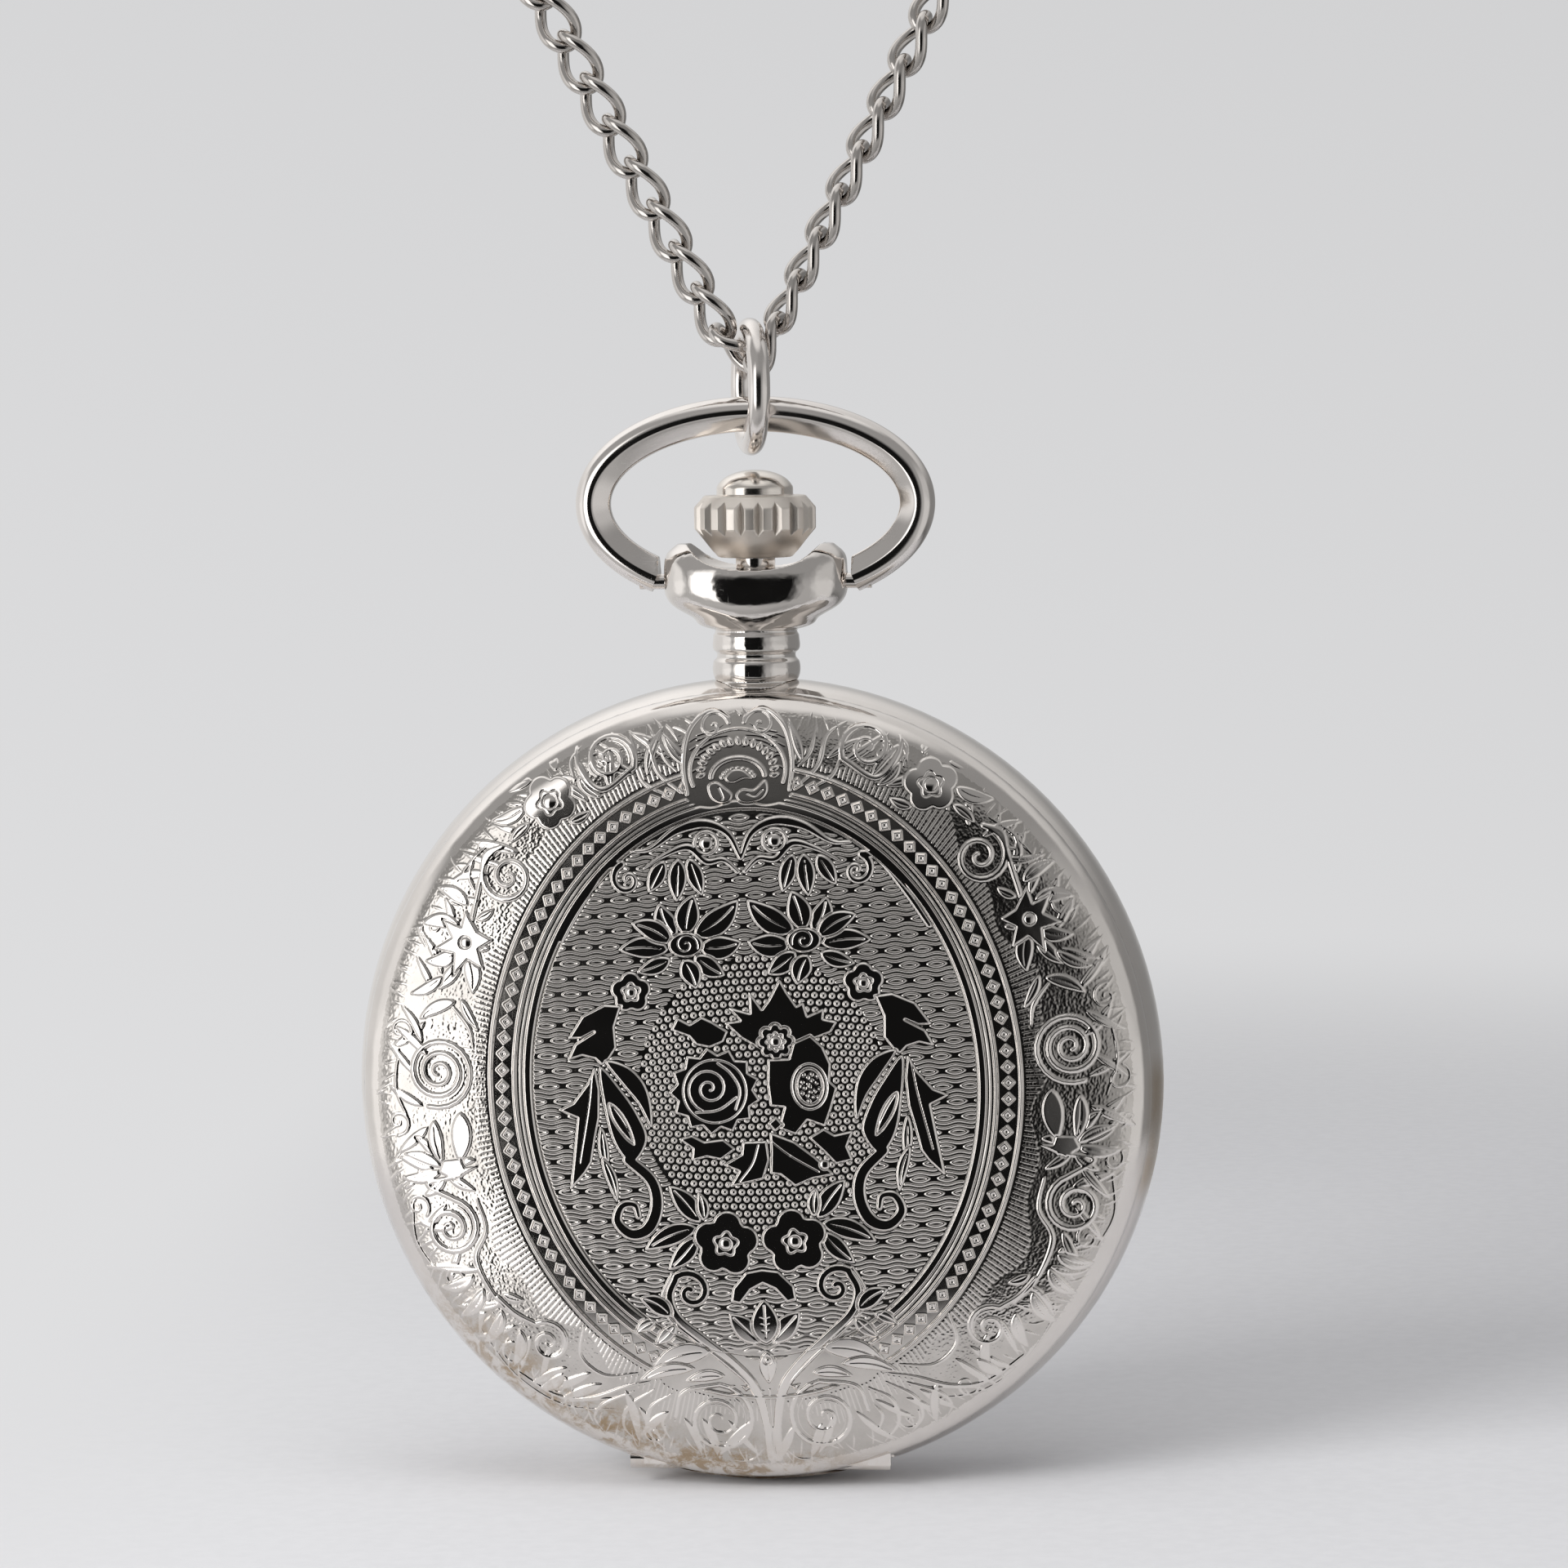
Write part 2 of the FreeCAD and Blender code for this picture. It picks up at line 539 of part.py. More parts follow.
def coil_core():
    core = box(-5.0, 9.2, CORE_H - 0.10, CORE_H + 0.10, CORE_Z - 0.55, CORE_Z + 0.55)
    return drill(core, 0.36, 5, 7, CORE_POSTS)


def drive_coil():
    core_slot = box(-8, 12, CORE_H - 0.12, CORE_H + 0.12, CORE_Z - 0.57, CORE_Z + 0.57)
    return rod_x(1.05, -2.6, 6.4, (CORE_H, CORE_Z)).cut(core_slot)


def coil_screws():
    return Part.makeCompound([screw(at, (0.70, 5.10, 5.46), (0.34, 5.4, 6.30), slot_h=5.2)
                              for at in CORE_POSTS])


# ---------------------------------------------------------------- electronics
BATTERY_AT = (-6.6, 6.2)
CLAMP_SCREW_AT = (-11.0, 6.2)


def circuit_board():
    return plate([(5.2, 0.9), (11.4, 0.9), (11.4, 4.6), (9.4, 8.6), (5.2, 8.6)], 6.60, 6.90)


def driver_chip():
    return box(5.6, 7.6, 6.05, 6.59, 1.5, 3.5)


def quartz_can():
    """Can along Z with a wider rim at its lower end."""
    can = Part.makeCylinder(0.75, 4.6, V(9.3, -5.82, 2.2), Z)
    return can.fuse(Part.makeCylinder(0.80, 0.4, V(9.3, -5.80, 2.2), Z))


def battery():
    cell = lathe_y([(0.0, 4.36), (2.9, 4.36), (2.9, 4.62), (3.4, 4.75), (3.4, 6.96), (0.0, 6.96)])
    cell.translate(V(BATTERY_AT[0], 0, BATTERY_AT[1]))
    return cell


def battery_clamp():
    """Strap behind the cell with a leg down its right side."""
    clamp = box(-11.6, -2.6, 4.10, 4.30, 5.3, 7.1).fuse(box(-2.9, -2.6, 4.2, 6.98, 5.3, 7.1))
    clamp = clamp.cut(rod_y(0.6, 4, 4.5, BATTERY_AT))
    return clamp.cut(rod_y(0.36, 4.0, 4.5, CLAMP_SCREW_AT))


def clamp_screw():
    return screw(CLAMP_SCREW_AT, (0.62, 3.86, 4.09), (0.35, 4.0, 6.99), 3.94, slot_half=0.08)


def setting_lever():
    """Lever holding the stem."""
    x, z = LEVER_AT
    lever = plate([(x + 0.9, z + 0.8), (x - 0.4, z + 0.75), (1.5, 9.35), (0.62, 9.35),
                   (0.62, 8.85), (1.6, 8.75), (x + 0.4, z - 0.8), (x + 1.0, z - 0.5)], 6.0, 6.40)
    return lever.cut(rod_y(0.33, 5, 7, LEVER_AT))


# ---------------------------------------------------------------- pendant
# (radius, z); the two curves are the rounded rings of the neck
NECK = [(0, 21.5), (2.75, 21.5), (2.75, 23.05),
        [(2.36, 23.32), (2.50, 23.62), (2.56, 24.05), (2.50, 24.48)],
        (2.28, 24.72), (2.28, 24.98),
        [(2.50, 25.15), (2.54, 25.55), (2.50, 25.98)],
        (2.28, 26.35), (2.28, 26.8), (0, 26.8)]
# loft sections: half width in X, half depth in Y, z, superellipse exponent
BULB = ((2.35, 2.35, 26.30, 2.0), (3.60, 2.85, 26.95, 2.1), (4.75, 3.25, 27.65, 2.25),
        (5.27, 3.42, 28.4, 2.4), (5.33, 3.42, 29.2, 2.5), (5.31, 3.22, 30.0, 2.5),
        (5.10, 2.70, 30.8, 2.4), (4.55, 1.90, 31.30, 2.3))
# (radius, z) of the hollow under the crown
DISH = [(0, 29.75), [(2.7, 29.75), (3.5, 29.98), (3.88, 30.35), (4.02, 31.0), (4.05, 32.0)],
        (0, 32.0)]


def pendant():
    sections = [closed_curve([V(x, STEM_Y + y, z) for x, y in superellipse(a, b, exponent, 24)])
                for a, b, z, exponent in BULB]
    body = lathe_z(NECK).fuse(Part.makeLoft(sections, True, False)).cut(lathe_z(DISH))
    body = body.cut(band_blank())
    body = body.fuse(rod_z(1.60, 20.97, 24.0))                     # tube through the band
    body = body.cut(rod_z(SLEEVE_R + 0.05, 19, 33)).cut(hook_slot())
    for x0, x1 in both_sides(3.85, 6.0):
        body = body.cut(rod_x(BOW_PIN_R + 0.05, x0, x1, BOW_PIVOT))
    return body


# ---------------------------------------------------------------- sleeve, stem, crown
STEM_Z0, STEM_Z1 = 5.0, 33.0
STEM_PINION_Z0, STEM_PINION_TEETH = 4.34, 12
# (radius, z): underside curve, knurled rim, button
CROWN = [(0, CROWN_Z0), [(2.15, CROWN_Z0), (2.45, 30.85), (3.05, 31.6), (3.40, 32.02)],
         (CROWN_R, 32.15), (CROWN_R, 33.38), (2.93, 34.08), (2.25, 34.10),
         [(2.22, 34.55), (1.75, 35.12), (0.95, 35.45), (0, 35.55)]]


def push_sleeve():
    return rod_z(SLEEVE_R, 20.74, 30.44).cut(rod_z(SLEEVE_BORE_R, 19, 33))


def stem_collar():
    return rod_z(1.00, 15.0, 15.6).cut(rod_z(STEM_R + 0.04, 14, 17))


def stem():
    shaft = rod_z(STEM_R, STEM_Z0, STEM_Z1)
    shaft = shaft.cut(rod_z(0.60, 8.80, 9.42).cut(rod_z(0.34, 8.0, 10.0)))   # lever groove
    points = []
    for k in range(STEM_PINION_TEETH):
        for share, radius in ((-0.34, 0.72), (-0.10, 1.0), (0.10, 1.0), (0.34, 0.72)):
            x, y = polar(radius, (k + share) * 2 * math.pi / STEM_PINION_TEETH, (0, STEM_Y))
            points.append(V(x, y, STEM_PINION_Z0))
    face = Part.Face(Part.makePolygon(points + points[:1]))
    return shaft.fuse(face.extrude(V(0, 0, STEM_Z0 - STEM_PINION_Z0)))


def crown():
    grooves = []
    for k in range(CROWN_FLUTES):
        corners = [V(3.28, 0, 31.7), V(3.85, -0.36, 31.7), V(3.85, 0.36, 31.7)]
        groove = Part.Face(Part.makePolygon(corners + corners[:1])).extrude(V(0, 0, 2.1))
        groove.rotate(V(0, 0, 0), Z, 360 * (k + 0.5) / CROWN_FLUTES)
        groove.translate(V(0, STEM_Y, 0))
        grooves.append(groove)
    return lathe_z(CROWN).cut(grooves).cut(rod_z(STEM_R, 30, STEM_Z1))


# ---------------------------------------------------------------- bow and jump ring
def bow():
    points, steps = [], 24
    for i in range(-steps, steps + 1):
        angle = math.radians(BOW_SWEEP) * i / steps
        height = BOW_RISE if abs(angle) <= math.pi / 2 else BOW_DROP
        points.append(V(BOW_HALF_W * math.sin(angle), STEM_Y,
                        BOW_MID_Z + height * math.cos(angle)))
    path = Part.BSplineCurve()
    path.interpolate(points)
    # rounded-square wire section at the start of the path
    normal = path.tangent(path.FirstParameter)[0].cross(Y).normalize()
    section = closed_curve([points[0] + normal * a + Y * b
                            for a, b in superellipse(BOW_WIRE / 2, BOW_WIRE / 2, 2.35, 20)])
    wire = Part.Wire([path.toShape()]).makePipeShell([section], True, True)
    # flat inner ends beside the pendant
    wire = wire.cut(box(-BOW_END_X, BOW_END_X, STEM_H - 5, STEM_H + 5, 25.0, 33.0))
    for x0, x1 in both_sides(5.0, BOW_PIN_END_X):
        wire = wire.cut(rod_x(BOW_PIN_R, x0, x1, BOW_PIVOT))
    return wire


def bow_pins():
    return Part.makeCompound([rod_x(BOW_PIN_R, x0, x1, BOW_PIVOT)
                              for x0, x1 in both_sides(4.0, BOW_PIN_END_X)])


def jump_ring():
    ring = Part.makeTorus(RING_R, RING_WIRE_R, V(0, 0, 0), X)
    ring.rotate(V(0, 0, 0), Z, RING_TURN)
    ring.translate(V(*RING_CENTRE))
    return ring


# ---------------------------------------------------------------- curb chain
LINK_HALF_L, LINK_HALF_W, LINK_WIRE_R = 1.75, 1.06, 0.345    # centre line and wire
LINK_TWIST = math.radians(-47.0)
LINK_PITCH = 2.74
LINKS_PER_GROUP = 3
ROLL_STEP = math.radians(2.2)                # extra roll from link to link
MID_LINK_CENTRE = V(-0.953, STEM_Y + 0.240, 42.588)
MID_LINK_AZIMUTH, MID_LINK_ELEVATION, MID_LINK_ROLL = 0.681, -0.353, 3.479     # radians
# side: start, direction, roll of the first link (radians)
STRANDS = {
    "left": (V(-1.846, STEM_Y + 0.031, 43.387), V(-0.462, 0.0, 0.887).normalize(), 0.801),
    "right": (V(0.159, STEM_Y + 0.068, 41.577), V(0.449, 0.0, 0.893).normalize(), 0.346),
}


def chain_link(centre, along, roll):
    """Twisted oval link; along is the unit vector of its length."""
    v = (Y - along * along.dot(Y)).normalize()
    w = along.cross(v)
    across = v * math.cos(roll) + w * math.sin(roll)
    up = w * math.cos(roll) - v * math.sin(roll)

    def centre_line(t):
        twist = LINK_TWIST * math.cos(t)
        side = LINK_HALF_W * math.sin(t)
        return (along * (LINK_HALF_L * math.cos(t)) + across * (side * math.cos(twist))
                + up * (side * math.sin(twist)))

    # the periodic cubic runs inside its poles, so both rings of poles are pushed out a little
    count_u, count_v = 28, 8
    push_u, push_v = (3.0 / (2 + math.cos(2 * math.pi / n)) for n in (count_u, count_v))
    poles = []
    for i in range(count_u):
        t = 2 * math.pi * i / count_u
        point = centre_line(t)
        tangent = (centre_line(t + 1e-4) - centre_line(t - 1e-4)).normalize()
        normal = (point - tangent * point.dot(tangent)).normalize()
        binormal = tangent.cross(normal)
        row = []
        for j in range(count_v):
            a, b = polar(LINK_WIRE_R * push_v, 2 * math.pi * j / count_v)
            row.append(point * push_u + normal * a + binormal * b + centre)
        poles.append(row)
    surface = Part.BSplineSurface()
    surface.buildFromPolesMultsKnots(poles, [1] * (count_u + 1), [1] * (count_v + 1),
                                     list(range(count_u + 1)), list(range(count_v + 1)),
                                     True, True, 3, 3)
    link = Part.makeSolid(Part.Shell([surface.toShape()]))
    # the shell may close inside out
    if link.Volume < 0:
        link.reverse()
    return link


def chain_centre_link():
    level = math.cos(MID_LINK_ELEVATION)
    along = V(-math.cos(MID_LINK_AZIMUTH) * level, math.sin(MID_LINK_ELEVATION),
              math.sin(MID_LINK_AZIMUTH) * level)
    return chain_link(MID_LINK_CENTRE, along, MID_LINK_ROLL)


def chain_group(side, group):
    start, along, roll = STRANDS[side]
    first = group * LINKS_PER_GROUP
    return Part.makeCompound([
        chain_link(start + along * (LINK_PITCH * (i + 0.5)), along, roll + ROLL_STEP * i)
        for i in range(first, first + LINKS_PER_GROUP)])


# ---------------------------------------------------------------- write the pieces
# each function is named after the file it fills
PIECES = (
    case_band, back_cover, back_gasket, front_cover, cover_hinge_pin, lift_spring, lid_catch,
    catch_pivot_pin, crystal_bezel, crystal_gasket, crystal, dial, hour_hand, minute_hand,
    second_hand, movement_ring, main_plate, train_bridge, bridge_screws, seconds_wheel,
    third_wheel, centre_wheel, step_wheel, rotor_arbor, rotor_magnet, minute_wheel, hour_wheel,
    setting_wheel, stator, coil_core, drive_coil, coil_screws, circuit_board, driver_chip,
    quartz_can, battery, battery_clamp, clamp_screw, setting_lever, pendant, push_sleeve,
    stem_collar, stem, crown, bow, bow_pins, jump_ring, chain_centre_link,
)

os.makedirs("parts", exist_ok=True)
for piece in PIECES:
    save(piece.__name__, piece())
for group, letter in enumerate("abc"):
    for side in STRANDS:
        save("chain_%s_%s" % (side, letter), chain_group(side, group))
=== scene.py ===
# A pocket watch with a relief on its front cover. The dial plane is XZ with the case centred on
# the origin: the cover faces -Y, the crown and the bow stand at +Z and +X is on the right.
# Lengths here are in millimetres and are scaled by MM on the way into Blender, except
# inside the materials and the modifiers, which work in metres.
import bpy
import json
import math
import numpy as np
from mathutils import Vector, Matrix

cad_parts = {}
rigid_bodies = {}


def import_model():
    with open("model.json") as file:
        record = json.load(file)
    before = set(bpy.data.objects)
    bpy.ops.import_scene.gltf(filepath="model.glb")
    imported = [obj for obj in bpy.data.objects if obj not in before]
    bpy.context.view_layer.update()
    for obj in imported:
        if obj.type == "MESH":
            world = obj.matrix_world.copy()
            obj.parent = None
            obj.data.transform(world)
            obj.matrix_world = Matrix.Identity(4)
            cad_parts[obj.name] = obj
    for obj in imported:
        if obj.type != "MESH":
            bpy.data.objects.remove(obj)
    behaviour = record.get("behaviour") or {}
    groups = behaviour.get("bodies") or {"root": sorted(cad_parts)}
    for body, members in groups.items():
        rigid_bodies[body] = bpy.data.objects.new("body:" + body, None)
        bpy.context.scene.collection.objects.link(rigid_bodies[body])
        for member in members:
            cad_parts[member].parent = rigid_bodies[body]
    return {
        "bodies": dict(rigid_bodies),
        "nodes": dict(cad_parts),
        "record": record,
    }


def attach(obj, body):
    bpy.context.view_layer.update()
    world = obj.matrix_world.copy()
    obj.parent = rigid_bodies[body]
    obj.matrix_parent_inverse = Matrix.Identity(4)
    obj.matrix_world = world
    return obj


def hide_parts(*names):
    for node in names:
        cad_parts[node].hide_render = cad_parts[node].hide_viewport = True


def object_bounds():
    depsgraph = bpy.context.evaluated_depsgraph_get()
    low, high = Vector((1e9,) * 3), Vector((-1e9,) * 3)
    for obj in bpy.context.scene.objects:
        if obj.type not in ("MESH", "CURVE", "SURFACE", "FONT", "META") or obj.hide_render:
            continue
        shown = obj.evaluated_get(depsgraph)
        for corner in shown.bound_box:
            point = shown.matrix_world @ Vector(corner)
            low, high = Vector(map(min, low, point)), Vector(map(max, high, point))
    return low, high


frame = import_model()
cad_low, cad_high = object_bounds()
MM = 0.001
scene = bpy.context.scene

CROWN_Y = -6.6            # crown and bow axis
CROWN_SHOULDER = 34.09    # top of the fluted part; the knob above it is polished

# ---------------------------------------------------------------- relief heights
# The relief is drawn as heights on a square grid over the cover. The drawing functions
# all work on these three layers; the lid meshes sample the result.
RELIEF_HALF = 22.7
RELIEF_STEP = 0.022
relief_count = int(2 * RELIEF_HALF / RELIEF_STEP) + 1
relief_axis = np.linspace(-RELIEF_HALF, RELIEF_HALF, relief_count).astype(np.float32)
ground = np.zeros((relief_count, relief_count), np.float32)   # fine texture
motif = np.zeros_like(ground)                                 # raised ornament
clearance = np.zeros_like(ground)                             # 1 where the texture is wiped out

# The artwork is turned and shifted a little on the cover.
ART_TURN = math.radians(2.4)
ART_COS, ART_SIN = math.cos(ART_TURN), math.sin(ART_TURN)
ART_SHIFT = 0.19

# Oval frame in the artwork: centre and half axes of its outer ring.
OVAL_X, OVAL_Z = 0.10, 0.50
OVAL_A, OVAL_B = 15.28, 18.28
# Dotted round in the middle of the oval.
ROUND_X = 0.62


def ease(t):
    t = np.clip(t, 0, 1)
    return t * t * (3 - 2 * t)


def to_lid(x, z):
    """Artwork coordinates to cover coordinates."""
    return ART_COS * x - ART_SIN * z + ART_SHIFT, ART_SIN * x + ART_COS * z


def on_lid(points):
    points = np.asarray(points, np.float64).reshape(-1, 2)
    return np.stack(to_lid(points[:, 0], points[:, 1]), 1)


def art_grid():
    """Artwork coordinates of every grid point."""
    grid_x, grid_z = np.meshgrid(relief_axis, relief_axis)
    return ((grid_x - ART_SHIFT) * ART_COS + grid_z * ART_SIN,
            -(grid_x - ART_SHIFT) * ART_SIN + grid_z * ART_COS)


def in_ellipse(x, z, centre_x, centre_z, half_x, half_z):
    return ((x - centre_x) / half_x) ** 2 + ((z - centre_z) / half_z) ** 2 < 1


def window(points, pad):
    """The part of the grid around some cover points, with its coordinates."""
    def index(value):
        return int(min(max(round((value + RELIEF_HALF) / RELIEF_STEP), 0), relief_count))

    low, high = points.min(0) - pad, points.max(0) + pad
    rows = slice(index(low[1]), index(high[1]) + 1)
    columns = slice(index(low[0]), index(high[0]) + 1)
    return (rows, columns), *np.meshgrid(relief_axis[columns], relief_axis[rows])


def segment_distance(grid_x, grid_z, start, end):
    """Distance to a segment, and where along it (0 to 1) the nearest point lies."""
    run = end - start
    length_sq = float(run @ run) + 1e-12
    t = np.clip(((grid_x - start[0]) * run[0] + (grid_z - start[1]) * run[1]) / length_sq, 0, 1)
    distance = np.sqrt((grid_x - start[0] - t * run[0]) ** 2
                       + (grid_z - start[1] - t * run[1]) ** 2)
    return distance, t


def polygon_distance(grid_x, grid_z, points):
    """Signed distance to a closed outline, negative inside."""
    best = np.full(grid_x.shape, 1e9, np.float32)
    inside = np.zeros(grid_x.shape, bool)
    for start, end in zip(points, np.roll(points, -1, 0)):
        best = np.minimum(best, segment_distance(grid_x, grid_z, start, end)[0])
        if start[1] != end[1]:
            spans = (start[1] > grid_z) != (end[1] > grid_z)
            crossing = start[0] + (grid_z - start[1]) / (end[1] - start[1]) * (end[0] - start[0])
            inside ^= spans & (grid_x < crossing)
    return best * np.where(inside, -1, 1)


def clear_around(area, distance, gap):
    clearance[area] = np.maximum(clearance[area], ease(1 - np.maximum(distance, 0) / gap))


# ---------------------------------------------------------------- drawing functions
def stroke(points, widths, height, slope, gap=0.09, cut=False):
    """A raised line, or with cut a groove in what is there. widths are half widths: one
    number, (start, end) or (start, middle, end). slope is the width of the bevel."""
    points = on_lid(points)
    start, *middle, end = widths if isinstance(widths, tuple) else (widths, widths)

    def half_width(t):
        if middle:
            return np.interp(t, [0, 0.5, 1], [start, *middle, end])
        return start + (end - start) * t

    lengths = np.linalg.norm(np.diff(points, axis=0), axis=1)
    along = np.concatenate([[0], np.cumsum(lengths)])
    along /= max(along[-1], 1e-9)
    pad = max(start, end, *middle) + gap + 0.05
    # a long line is drawn in pieces about 3 mm long, each in its own window
    step = max(1, int(len(points) / (int(lengths.sum() / 3.0) + 1)))
    for k in range(0, len(points) - 1, step):
        piece = points[k:k + step + 1]
        area, grid_x, grid_z = window(piece, pad)
        best = np.full(grid_x.shape, 9.0, np.float32)
        for i in range(len(piece) - 1):
            distance, t = segment_distance(grid_x, grid_z, piece[i], piece[i + 1])
            width = half_width(along[k + i] + (along[k + i + 1] - along[k + i]) * t)
            best = np.minimum(best, distance - width)
        profile = height * ease(-best / slope)
        if cut:
            motif[area] = np.maximum(motif[area] - profile, 0)
            ground[area] = np.maximum(ground[area], 0) * (best > 0)
        else:
            clear_around(area, best, gap)
            motif[area] = np.maximum(motif[area], profile)


def groove(points, width, depth=0.10, slope=0.06):
    stroke(points, width, depth, slope, cut=True)


def shape(outline, height=0.12, slope=0.10, gap=0.10):
    """A raised flat shape with a bevelled edge; it covers what lies under it."""
    points = on_lid(outline)
    area, grid_x, grid_z = window(points, gap + 0.05)
    distance = polygon_distance(grid_x, grid_z, points)
    clear_around(area, distance, gap)
    around = motif[area] * ease(distance / gap * 1.5)
    motif[area] = np.where(distance < 0, height * ease(-distance / slope), around)


def dome(centre, radius, height, gap=0.08):
    spot = on_lid([centre])
    area, grid_x, grid_z = window(spot, radius + gap + 0.05)
    ratio = np.sqrt(((grid_x - spot[0, 0]) / radius) ** 2 + ((grid_z - spot[0, 1]) / radius) ** 2)
    distance = (ratio - 1) * radius
    clear_around(area, distance, gap)
    cap = height * np.sqrt(np.clip(1 - ratio * ratio, 0, 1))
    motif[area] = np.where(ratio < 1, cap, motif[area] * ease(distance / gap * 1.5))


def erase(outline):
    """Wipes ornament and texture inside a closed outline."""
    points = on_lid(outline)
    area, grid_x, grid_z = window(points, 0.1)
    kept = ease(polygon_distance(grid_x, grid_z, points) / 0.06 + 0.5)
    motif[area] *= kept
    ground[area] *= kept


def polar(centre, radius_x, radius_z, angles):
    return np.stack([centre[0] + radius_x * np.cos(angles),
                     centre[1] + radius_z * np.sin(angles)], 1)


def at_angle(radius, angle):
    return radius * math.cos(angle), radius * math.sin(angle)


def ellipse(centre, half_x, half_z, count, start=0, end=360):
    return polar(centre, half_x, half_z, np.radians(np.linspace(start, end, count)))


def spiral(centre, inner, outer, turns, angle, sense):
    """From the outside end, at angle (degrees), winding inward."""
    t = np.linspace(0, 1, max(12, int(22 * turns)))
    radius = outer + (inner - outer) * t ** 0.9
    return polar(centre, radius, radius, math.radians(angle) + sense * t * turns * 2 * math.pi)


def spline(points, samples, closed=False):
    """A smooth curve through the points, with samples steps between each two."""
    knots = [np.array(point, float) for point in points]
    if closed:
        knots = [knots[-1], *knots, knots[0], knots[1]]
    else:
        knots = [2 * knots[0] - knots[1], *knots, 2 * knots[-1] - knots[-2]]
    curve = []
    for before, start, end, after in zip(knots, knots[1:], knots[2:], knots[3:]):
        for k in range(samples):
            t = k / samples
            curve.append(0.5 * (2 * start + (end - before) * t
                                + (2 * before - 5 * start + 4 * end - after) * t * t
                                + (-before + 3 * start - 3 * end + after) * t ** 3))
    if not closed:
        curve.append(knots[-2])
    return np.array(curve)


def flip(side, points):
    """Points of the right half (side 1) or their mirror image (side -1)."""
    return [(side * x, z) for x, z in points]


def flip_angle(side, angle):
    return angle if side > 0 else 180 - angle


def leaf_outline(base, tip, width, bend=0.0):
    """The outline of a pointed leaf of half width width, and its midline."""
    base, tip = np.array(base, float), np.array(tip, float)
    length = np.linalg.norm(tip - base)
    along = (tip - base) / length
    across = np.array([-along[1], along[0]])
    t = np.linspace(0, 1, 14)
    bulge = bend * np.sin(np.pi * t)
    midline = base + along * (t * length)[:, None] + across * bulge[:, None]
    run = np.gradient(midline, axis=0)
    run /= np.linalg.norm(run, axis=1)[:, None]
    normal = np.stack([-run[:, 1], run[:, 0]], 1)
    half_width = width * np.sin(np.pi * t ** 0.85) ** 0.8
    half_width[0] = half_width[-1] = 0.0
    offset = normal * half_width[:, None]
    return np.concatenate([midline + offset, (midline - offset)[::-1][1:-1]]), midline


def leaf(base, tip, width, bend=0.0, height=0.12, vein=0.05, slope=0.10):
    outline, midline = leaf_outline(base, tip, width, bend)
    shape(outline, height, slope)
    if vein:
        groove(midline[2:-2], (0.03, vein), height * 0.8, 0.05)


def leaves(side, rows, **look):
    """Rows are base x, base z, tip x, tip z, half width, bend."""
    for base_x, base_z, tip_x, tip_z, width, bend in rows:
        leaf((side * base_x, base_z), (side * tip_x, tip_z), width, bend * side, **look)


def sweeps(side, rows, height=0.10, slope=0.08):
    """Curved strokes. Rows are (start, middle, end) half widths, then the points."""
    for widths, *points in rows:
        stroke(spline(flip(side, points), 8), widths, height, slope)


def scroll(side, centre, radius, turns, angle, sense, width, tail=None, height=0.12,
           companion=True):
    """A raised line winding in from angle (degrees), led in by a tail, with a thin
    companion line inside it."""
    centre = (side * centre[0], centre[1])
    angle = flip_angle(side, angle)
    sense = sense * side
    line = spiral(centre, radius * 0.10, radius, turns, angle, sense)
    if tail is not None:
        lead = spline([*flip(side, tail), line[0]], 8)
        line = np.concatenate([lead[:-1], line])
    stroke(line, (width * 0.75, width, width * 0.55), height, 0.09)
    if companion:
        thin = spiral(centre, radius * 0.22, radius * 0.80, turns * 0.8, angle + 8 * sense, sense)
        stroke(thin, (0.045, 0.035), height * 0.55, 0.05, gap=0.05)


def flower(centre, radius, petals, turn, height, lobe=0.16, button=0.28):
    """A petalled disc with a wavy groove and a domed button; turn is in degrees."""
    turn = math.radians(turn)
    angles = np.linspace(0, 2 * np.pi, petals * 10, endpoint=False)
    wave = np.abs(np.cos(petals * (angles - turn) / 2)) ** 0.7
    edge = radius * (1 - lobe + lobe * 1.6 * wave)
    shape(polar(centre, edge, edge, angles), height)
    angles = np.linspace(0, 2 * np.pi, 48)
    ring = radius * (button + 0.17) * (1 + 0.16 * np.cos(petals * (angles - turn)))
    groove(polar(centre, ring, ring, angles), 0.045, height, 0.05)
    dome(centre, radius * button, height * 1.15, gap=0.05)


# ---------------------------------------------------------------- textured grounds
def draw_grain(rng, x, z):
    """A soft random grain outside the oval."""
    grid_x, grid_z = np.meshgrid(relief_axis, relief_axis)
    radius = np.sqrt(grid_x * grid_x + grid_z * grid_z)
    grain = rng.standard_normal(grid_x.shape).astype(np.float32)
    for _ in range(3):
        grain = (grain + np.roll(grain, 1, 0) + np.roll(grain, 1, 1)
                 + np.roll(grain, -1, 0) + np.roll(grain, -1, 1)) / 2.4
    outside = ~in_ellipse(x, z, OVAL_X, OVAL_Z, 15.5, 18.5) & (radius < 22.3)
    height = 0.007 * np.clip(grain, -1, 2.0) * ease((22.3 - radius) / 0.8)
    ground[:] = np.where(outside, height, ground)


